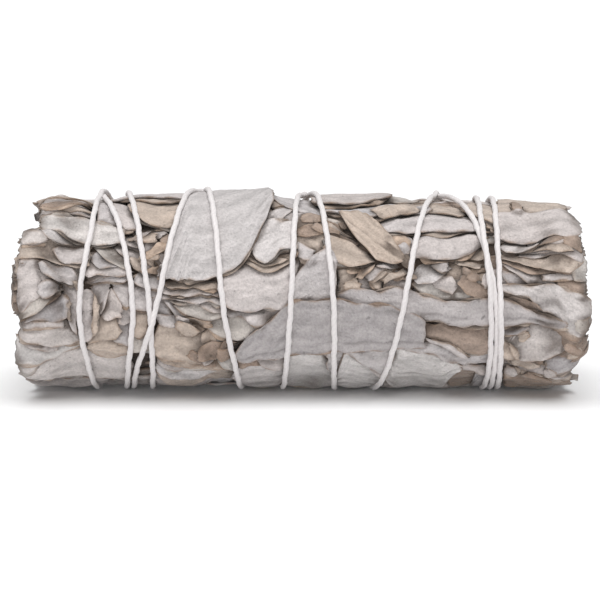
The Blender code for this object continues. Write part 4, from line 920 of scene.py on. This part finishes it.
def faces_outward(points, quads):
    """Whether the first grid's faces point away from the axis, by the sum of their normals."""
    corner = points[quads[: len(quads) // 2]]
    normal = np.cross(corner[:, 2] - corner[:, 0], corner[:, 3] - corner[:, 1])
    centre = corner.mean(axis=1) - np.array((0.0, OFF_CENTRE[1], AXIS_HEIGHT)) * 0.001
    return (normal[:, 1:] * centre[:, 1:]).sum() > 0


def grid_mesh(name, points, quads, tint, grain):
    """A smooth mesh of quads, with a colour (tint) and a place for patterns (grain) per point."""
    mesh = bpy.data.meshes.new(name)
    mesh.vertices.add(len(points))
    mesh.vertices.foreach_set("co", points.astype(np.float32).ravel())
    mesh.loops.add(quads.size)
    mesh.loops.foreach_set("vertex_index", quads.astype(np.int32).ravel())
    mesh.polygons.add(len(quads))
    mesh.polygons.foreach_set("loop_start", np.arange(0, quads.size, 4, dtype=np.int32))
    mesh.update(calc_edges=True)
    mesh.validate()
    colours = mesh.color_attributes.new("tint", "FLOAT_COLOR", "POINT")
    colours.data.foreach_set("color", np.c_[tint, np.ones(len(tint))].astype(np.float32).ravel())
    places = mesh.attributes.new("grain", "FLOAT_VECTOR", "POINT")
    places.data.foreach_set("vector", grain.astype(np.float32).ravel())
    mesh.polygons.foreach_set("use_smooth", np.ones(len(mesh.polygons), bool))
    thing = bpy.data.objects.new(name, mesh)
    bpy.context.scene.collection.objects.link(thing)
    return thing


UNDERSIDE_SHADE = 0.8
PATTERN_STEP = 7.3


def leafy_mesh(name, leaves, laid_count):
    """Joins the sheets of a piece's leaves, the laid ones first, into one mesh."""
    points, quads, tints, grains, first = [], [], [], [], 0
    for number, leaf in enumerate(leaves):
        kind, x, angle, radius, along, across, rim, thickness, wrinkles, tone = leaf[1:]
        tight = packed(x, angle, radius, bed_level) if number < laid_count else radius
        spots, faces = closed_sheet(x, angle, tight, thickness)
        if not faces_outward(spots, faces):
            faces = faces[:, ::-1]
        tint = leaf_colour(kind, along, across, rim, wrinkles, tone)
        # Laid leaves get painted shade where they lie deep or beside a higher step.
        if number < laid_count:
            tint = shaded(tint, x, angle, radius)
        grain = np.stack([along, across, np.full(x.shape, PATTERN_STEP * number)], -1)
        inside = (slice(1, -1), slice(1, -1))
        tints += [tint.reshape(-1, 3), tint[inside].reshape(-1, 3) * UNDERSIDE_SHADE]
        grains += [grain.reshape(-1, 3), grain[inside].reshape(-1, 3)]
        points.append(spots)
        quads.append(faces + first)
        first += len(spots)
    return grid_mesh(
        name, np.concatenate(points), np.concatenate(quads), np.concatenate(tints),
        np.concatenate(grains),
    )


def set_values(node, values):
    """Gives a shader node the values of its inputs, by their names."""
    for socket, value in values.items():
        node.inputs[socket].default_value = value
    return node


def remapped(tree, value, low, high, least, most):
    """A pattern's value, taken from low..high to least..most in a straight line."""
    node = tree.nodes.new("ShaderNodeMapRange")
    set_values(node, {"From Min": low, "From Max": high, "To Min": least, "To Max": most})
    tree.links.new(value, node.inputs["Value"])
    return node.outputs["Result"]


def multiplied(tree, first, second):
    """first * second."""
    node = tree.nodes.new("ShaderNodeMath")
    node.operation = "MULTIPLY"
    tree.links.new(first, node.inputs[0])
    tree.links.new(second, node.inputs[1])
    return node.outputs["Value"]


def with_share(tree, value, share, rest):
    """value * share + rest."""
    node = tree.nodes.new("ShaderNodeMath")
    node.operation = "MULTIPLY_ADD"
    node.inputs[1].default_value = share
    tree.links.new(value, node.inputs[0])
    tree.links.new(rest, node.inputs[2])
    return node.outputs["Value"]


def tinted_finish(name, values):
    """A material whose shader has these values, with nodes that read tint and grain."""
    material = bpy.data.materials.new(name)
    material.use_nodes = True
    tree = material.node_tree
    shader = set_values(tree.nodes["Principled BSDF"], values)
    tint = tree.nodes.new("ShaderNodeAttribute")
    tint.attribute_name = "tint"
    grain = tree.nodes.new("ShaderNodeAttribute")
    grain.attribute_name = "grain"
    return material, tree, shader, tint, grain


def colour_and_bump(tree, shader, tint, strength, height, bump_values):
    """Base colour = tint * strength, and the normal is bumped by the height."""
    coloured = tree.nodes.new("ShaderNodeVectorMath")
    coloured.operation = "SCALE"
    tree.links.new(tint.outputs["Color"], coloured.inputs[0])
    tree.links.new(strength, coloured.inputs["Scale"])
    tree.links.new(coloured.outputs["Vector"], shader.inputs["Base Color"])
    bump = set_values(tree.nodes.new("ShaderNodeBump"), bump_values)
    tree.links.new(height, bump.inputs["Height"])
    tree.links.new(bump.outputs["Normal"], shader.inputs["Normal"])


def leaf_finish(name):
    """Felted dried leaf: the tint, mottled and specked, over fine creases and a pebbled nap."""
    material, tree, shader, tint, grain = tinted_finish(name, {
        "Roughness": 0.86, "Specular IOR Level": 0.22, "Sheen Weight": 0.18, "Sheen Roughness": 0.6,
    })
    place = tree.nodes.new("ShaderNodeTexCoord")
    mottle, pebble, speck = (
        set_values(tree.nodes.new("ShaderNodeTexNoise"), values)
        for values in (
            {"Scale": 420.0, "Detail": 6.0, "Roughness": 0.62},
            {"Scale": 2300.0, "Detail": 3.0},
            {"Scale": 1150.0, "Detail": 1.0},
        )
    )
    for pattern in (mottle, pebble, speck):
        tree.links.new(place.outputs["Object"], pattern.inputs["Vector"])
    crease_place = set_values(tree.nodes.new("ShaderNodeMapping"), {"Scale": (0.3, 1.0, 1.0)})
    tree.links.new(grain.outputs["Vector"], crease_place.inputs["Vector"])
    crease = tree.nodes.new("ShaderNodeTexNoise")
    crease.noise_type = "RIDGED_MULTIFRACTAL"
    set_values(crease, {"Scale": 0.8, "Detail": 4.0, "Lacunarity": 2.3})
    tree.links.new(crease_place.outputs["Vector"], crease.inputs["Vector"])

    strength = remapped(tree, mottle.outputs["Fac"], 0.3, 0.7, 0.88, 1.10)
    for share in (
        remapped(tree, crease.outputs["Fac"], 0.0, 1.2, 0.86, 1.07),
        remapped(tree, pebble.outputs["Fac"], 0.3, 0.7, 0.87, 1.13),
        remapped(tree, speck.outputs["Fac"], 0.70, 0.78, 1.0, 0.6),
    ):
        strength = multiplied(tree, strength, share)
    height = with_share(tree, pebble.outputs["Fac"], 0.9, mottle.outputs["Fac"])
    height = with_share(tree, crease.outputs["Fac"], 1.2, height)
    bump_values = {"Strength": 0.8, "Distance": 0.0004}
    colour_and_bump(tree, shader, tint, strength, height, bump_values)
    return material


packed_finish = leaf_finish("packed sage leaf")
broad_finish = leaf_finish("broad sage leaf")
piece_names = list(dict.fromkeys(leaf[0] for leaf in laid + loose))
for name in piece_names:
    own = [leaf for leaf in laid if leaf[0] == name]
    cut = [leaf for leaf in loose if leaf[0] == name]
    broad = name.startswith("leaf_")
    piece = leafy_mesh(("broad_" if broad else "") + name, own + cut, len(own))
    piece.data.materials.append(broad_finish if broad else packed_finish)
    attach(piece, "root")
    if broad:
        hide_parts(name)
    else:
        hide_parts("leafy_" + name.replace("_leaves", ""))

# The heart of the roll
# Inside, the leaves are pressed into one mass. It is closed here by a plain dark brown body that
# stops short of the ends and shows only at the bottom of the gaps: its colour is partly the brown of
# inner leaves and partly painted shade.
HEART_RADIUS = 14.9
HEART_HALF_LENGTH = 45.5
HEART_SIDES = 48


def ring_quads(rings, sides, inside_out=False):
    """Quads between the rings of points of a closed tube, each ring joined up in itself."""
    ring = np.arange(rings * sides).reshape(rings, sides)
    beside = np.roll(ring, -1, axis=1)
    corners = [ring[:-1], ring[1:], beside[1:], beside[:-1]]
    if inside_out:
        corners = [ring[:-1], beside[:-1], beside[1:], ring[1:]]
    return np.stack([corner.ravel() for corner in corners], -1)


heart_ends = np.array([0.0, 0.6, 1.0, 1.0, 1.0, 1.0, 0.6, 0.0])
heart_x = np.array([-1, -1, -0.99, -0.5, 0.5, 0.99, 1, 1]) * HEART_HALF_LENGTH
turns = np.linspace(0, 360, HEART_SIDES + 1)[None, :-1]
spots = on_stick(heart_x[:, None] + 0 * turns, turns, HEART_RADIUS * heart_ends[:, None] + 0.01)
spots = spots.reshape(-1, 3)
# The heart's dark brown is partly painted shade at the bottom of the gaps.
heart = grid_mesh(
    "heart_of_roll", spots, ring_quads(len(heart_x), HEART_SIDES),
    np.tile(GAP_SHADE_BROWN, (len(spots), 1)), spots * 1000,
)
heart.data.materials.append(packed_finish)
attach(heart, "root")

# The stems
# A woody stem of white sage runs up each sprig. Only its cut butt shows, at the left end: a thin
# brown bark round pale wood and a softer pith. It is held by the leaves round it.
STEMS = (
    ("stem_middle", 1.35), ("stem_1", 1.05), ("stem_2", 1.2), ("stem_3", 0.95), ("stem_4", 1.15),
    ("stem_5", 1.0), ("stem_6", 1.1),
)
BARK = np.array((0.30, 0.20, 0.13))
WOOD = np.array((0.56, 0.45, 0.32))
PITH = np.array((0.40, 0.30, 0.20))
STEM_RINGS = 60
STEM_SIDES = 24
stem_finish = leaf_finish("sage twig bark")
for name, radius in STEMS:
    low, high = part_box(name)
    centre_y, centre_z = (low[1] + high[1]) / 2, (low[2] + high[2]) / 2
    cap = np.array([0.02, 0.3, 0.55, 0.85, 0.98])
    body = low[0] + np.linspace(0, 1, STEM_RINGS) * (high[0] - low[0])
    share = np.concatenate([cap, np.ones(STEM_RINGS), cap[::-1]])[:, None]
    x = np.concatenate([np.full(len(cap), low[0]), body, np.full(len(cap), high[0])])
    turn = np.radians(np.arange(STEM_SIDES) * 360 / STEM_SIDES)[None, :]
    bark = 1 - 0.05 * (1 + np.cos(5 * turn + 0.4 * np.sin(x * 900)[:, None])) * (share > 0.99)
    taper = np.linspace(1.0, 0.8, len(x))[:, None]
    reach = radius * 0.001 * share * bark * taper
    spots = np.stack(
        [x[:, None] + 0 * turn, centre_y - reach * np.cos(turn), centre_z + reach * np.sin(turn)], -1
    )
    tint = np.where(share[..., None] > 0.9, BARK, np.where(share[..., None] < 0.35, PITH, WOOD))
    tint = np.broadcast_to(tint, spots.shape).reshape(-1, 3)
    spots = spots.reshape(-1, 3)
    quads = ring_quads(len(x), STEM_SIDES)
    stem = grid_mesh("woody_" + name, spots, quads, tint, spots * 1000)
    stem.data.materials.append(stem_finish)
    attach(stem, "root")
    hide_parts(name)

# The string
# Off-white cotton string of three plies, 1.0 mm thick, twisted once every 2.8 mm. It is pulled
# tight, so it sinks a little into the leaves and goes straight over the gaps between them. Where
# a turn crosses an earlier one it rides over it, and it is knotted behind the left end.
TWIST_LENGTH = 2.8
STRING_SIDES = 15
SINK = 0.12
PULL = 0.004
CROSS_GAP = 0.92
KNOT_LIFT = 0.8
KNOT_SPREAD = 12.0
COTTON_WHITE = np.array((0.71, 0.675, 0.67))
firm = smoothed(np.maximum(bed, smoothed(bed, 2.0)), 0.6)
route_radius = packed(route_x, route_angle, read_map(firm, route_x, route_angle), bed_level)
route_radius = route_radius + STRING_DIAMETER / 2 - SINK


def taut(radius, rounds):
    """Pulls the string straight, in rounds: each point goes to the mean of two points beside it,
    less PULL, but never under the radius given.
    """
    held = radius.copy()
    for _ in range(rounds):
        eased = held.copy()
        eased[3:-3] = (held[:-6] + held[6:]) / 2 - PULL
        held = np.maximum(eased, radius)
    return held


route_radius = taut(route_radius, 60)

# A later turn that crosses an earlier one is lifted until the two are CROSS_GAP apart.
route_arc = np.radians(route_angle) * STRING_RADIUS_OUT
round_arc = 2 * math.pi * STRING_RADIUS_OUT
per_turn = int(360 / (route_turn[1] - route_turn[0]))
for n in range(per_turn // 2, len(route_x)):
    before = slice(0, n - per_turn // 2)
    across = route_x[before] - route_x[n]
    along = np.abs((route_arc[before] - route_arc[n] + round_arc / 2) % round_arc - round_arc / 2)
    close = (np.abs(across) < CROSS_GAP) & (along < CROSS_GAP)
    if close.any():
        distance = across[close] ** 2 + 0.35 * along[close] ** 2
        need = route_radius[before][close] + np.sqrt(np.maximum(CROSS_GAP**2 - distance, 0))
        route_radius[n] = max(route_radius[n], need.max())
route_radius = np.convolve(np.pad(route_radius, 4, "edge"), np.ones(9) / 9, "valid")
at_knot = np.minimum(np.abs(route_turn), np.abs(route_turn - whole_turn))
route_radius += KNOT_LIFT * np.exp(-((at_knot / KNOT_SPREAD) ** 2))


def twisted_tube(centre, outward, diameter, twist):
    """A tube of three plies: its radius at angle f and length s is r * (0.94 + 0.05 * lobe),
    with lobe = |cos(1.5 * (f - 2 pi s / twist))|, and swells a little with two sine waves of s.
    The ends are rounded off to closed caps.
    """
    forward = np.gradient(centre, axis=0)
    forward /= np.linalg.norm(forward, axis=1, keepdims=True)
    outward = outward - (outward * forward).sum(1, keepdims=True) * forward
    outward /= np.linalg.norm(outward, axis=1, keepdims=True)
    beside = np.cross(forward, outward)
    length = np.concatenate([[0], np.cumsum(np.linalg.norm(np.diff(centre, axis=0), axis=1))])
    f = np.linspace(0, 2 * math.pi, STRING_SIDES, endpoint=False)[None, :]
    lobe = np.abs(np.cos(1.5 * (f - 2 * math.pi * length[:, None] / twist)))
    ends = np.minimum(length, length[-1] - length) / (diameter / 2)
    swell = 1 + 0.035 * np.sin(length * 1.9) + 0.03 * np.sin(length * 4.3 + 1)
    ends = np.sqrt(np.clip(ends, 0.0004, 1)) * swell
    size = diameter / 2 * (0.94 + 0.05 * lobe) * ends[:, None]
    side = np.cos(f)[..., None] * outward[:, None, :] + np.sin(f)[..., None] * beside[:, None, :]
    points = centre[:, None, :] + size[..., None] * side
    quads = ring_quads(len(points), STRING_SIDES, inside_out=True)
    # Painted shade: the tint is up to 8 % darker in the grooves between the plies.
    ply_groove_shade = np.repeat((1 - lobe)[..., None], 3, -1)
    tint = COTTON_WHITE * (1 - 0.08 * ply_groove_shade)
    grain = np.stack([length[:, None] + 0 * f, f * diameter / 2 + 0 * length[:, None], 0 * lobe], -1)
    return points.reshape(-1, 3), quads, tint.reshape(-1, 3), grain.reshape(-1, 3)


def joined(parts):
    """Puts several tubes into one set of points, quads, tints and grains."""
    starts = np.cumsum([0] + [len(part[0]) for part in parts[:-1]])
    quads = np.concatenate([part[1] + start for part, start in zip(parts, starts)])
    return (
        np.concatenate([part[0] for part in parts]), quads,
        np.concatenate([part[2] for part in parts]), np.concatenate([part[3] for part in parts]),
    )


sway = 0.05 * np.sin(route_turn * 0.31) + 0.035 * np.sin(route_turn * 0.83 + 1)
string_line = on_stick(route_x + sway, route_angle, route_radius)
string_out = on_stick(route_x + sway, route_angle, route_radius + 1) - string_line

# The tubes are worked out in mm. Two small loops round the crossing strands make the knot.
LOOP_HALF_LENGTH = 1.12
LOOP_HEIGHT = 0.72
LOOP_LIFT = 0.12
LOOP_OFFSET = 2.6
LOOP_LEAN = 1.4
millimetres = 1000.0
parts = [twisted_tube(string_line * millimetres, string_out, STRING_DIAMETER, TWIST_LENGTH)]
knot_radius = route_radius[np.argmin(np.abs(route_turn))]
wrap = np.linspace(0, 2 * math.pi, 44)
for way in (-1, 1):
    x = KNOT_X + LOOP_HALF_LENGTH * np.cos(wrap) * (1 + 0.1 * way)
    angle = 180 + way * LOOP_OFFSET + LOOP_LEAN * np.sin(wrap + way)
    radius = knot_radius + LOOP_LIFT + LOOP_HEIGHT * np.sin(wrap)
    line = on_stick(x, angle, radius)
    out = line - on_stick(KNOT_X, 180.0, knot_radius)
    parts.append(twisted_tube(line * millimetres, out, STRING_DIAMETER * 0.95, TWIST_LENGTH))
points, quads, tint, grain = joined(parts)
string = grid_mesh("wound_cotton_string", points / millimetres, quads, tint, grain)


def cotton_finish():
    """Cotton yarn: the tint with pale fibres that run round the twist, rough and sheeny."""
    material, tree, shader, tint, grain = tinted_finish("twisted cotton", {
        "Roughness": 0.9, "Specular IOR Level": 0.2, "Sheen Weight": 0.35, "Sheen Roughness": 0.5,
    })
    turned = set_values(
        tree.nodes.new("ShaderNodeMapping"), {"Rotation": (0, 0, 0.9), "Scale": (1.2, 9.0, 1.0)}
    )
    tree.links.new(grain.outputs["Vector"], turned.inputs["Vector"])
    fibres = set_values(tree.nodes.new("ShaderNodeTexNoise"), {"Scale": 1.6, "Detail": 3.0})
    tree.links.new(turned.outputs["Vector"], fibres.inputs["Vector"])
    strength = remapped(tree, fibres.outputs["Fac"], 0.0, 1.0, 0.9, 1.12)
    bump_values = {"Strength": 0.6, "Distance": 0.00008}
    colour_and_bump(tree, shader, tint, strength, fibres.outputs["Fac"], bump_values)
    return material


string.data.materials.append(cotton_finish())
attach(string, "root")
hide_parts("cotton_string")

# Floor, light and camera
# The stick lies on a plain white table against white, under a broad soft light from above and a
# weaker one from the front. The camera stands 300 mm in front and looks down by 9 degrees.
FLOOR_HALF_WIDTH = 3
floor_corners = [
    (x * FLOOR_HALF_WIDTH, y * FLOOR_HALF_WIDTH, 0)
    for x, y in ((-1, -1), (1, -1), (1, 1), (-1, 1))
]
floor_mesh = bpy.data.meshes.new("floor")
floor_mesh.from_pydata(floor_corners, [], [(0, 1, 2, 3)])
floor = bpy.data.objects.new("floor", floor_mesh)
bpy.context.scene.collection.objects.link(floor)
floor_finish = bpy.data.materials.new("white table")
floor_finish.use_nodes = True
set_values(floor_finish.node_tree.nodes["Principled BSDF"], {
    "Base Color": (0.93, 0.93, 0.935, 1), "Roughness": 0.8, "Specular IOR Level": 0.1,
})
floor_mesh.materials.append(floor_finish)

# Light comes from an even white sky, dim on the stick and full behind it, and from two soft suns
# turned about x: each has a strength, a width in degrees and a lean from straight above.
SKY_LIGHT = 0.28
SKY_SEEN = 1.1
OVERHEAD_LIGHT = 2.95
OVERHEAD_WIDTH = 60.0
OVERHEAD_LEAN = 17.0
FILL_LIGHT = 1.0
FILL_WIDTH = 36.0
FILL_LEAN = 83.0
world = bpy.data.worlds.new("white studio")
bpy.context.scene.world = world
world.use_nodes = True
sky_nodes, sky_links = world.node_tree.nodes, world.node_tree.links
set_values(sky_nodes["Background"], {"Color": (1.0, 1.0, 1.0, 1), "Strength": SKY_LIGHT})
seen = sky_nodes.new("ShaderNodeBackground")
set_values(seen, {"Color": (1.0, 1.0, 1.0, 1), "Strength": SKY_SEEN})
ray = sky_nodes.new("ShaderNodeLightPath")
choose = sky_nodes.new("ShaderNodeMixShader")
sky_links.new(ray.outputs["Is Camera Ray"], choose.inputs["Fac"])
sky_links.new(sky_nodes["Background"].outputs["Background"], choose.inputs[1])
sky_links.new(seen.outputs["Background"], choose.inputs[2])
sky_links.new(choose.outputs["Shader"], sky_nodes["World Output"].inputs["Surface"])

for name, strength, width, lean in (
    ("overhead light", OVERHEAD_LIGHT, OVERHEAD_WIDTH, OVERHEAD_LEAN),
    ("front light", FILL_LIGHT, FILL_WIDTH, FILL_LEAN),
):
    light = bpy.data.lights.new(name, "SUN")
    light.energy = strength
    light.angle = math.radians(width)
    lamp = bpy.data.objects.new(name, light)
    lamp.rotation_euler = (math.radians(lean), 0, 0)
    bpy.context.scene.collection.objects.link(lamp)

bpy.context.scene.view_settings.view_transform = "Standard"
IMAGE_WIDTH = 600
SHIFT_PIXELS = (-1.5, -10.0)
LENS = 97.26
SENSOR_WIDTH = 36.0
camera_data = bpy.data.cameras.new("camera")
camera_data.lens = LENS
camera_data.sensor_width = SENSOR_WIDTH
camera_data.shift_x = SHIFT_PIXELS[0] / IMAGE_WIDTH
camera_data.shift_y = SHIFT_PIXELS[1] / IMAGE_WIDTH
camera_data.clip_start = 0.01
camera = bpy.data.objects.new("camera", camera_data)
bpy.context.scene.collection.objects.link(camera)
tilt = math.radians(EYE_TILT)
camera.location = (
    0.0,
    -EYE_DISTANCE * math.cos(tilt) * 0.001,
    (AXIS_HEIGHT + EYE_DISTANCE * math.sin(tilt)) * 0.001,
)
camera.rotation_euler = (math.pi / 2 - tilt, 0, 0)
bpy.context.scene.camera = camera
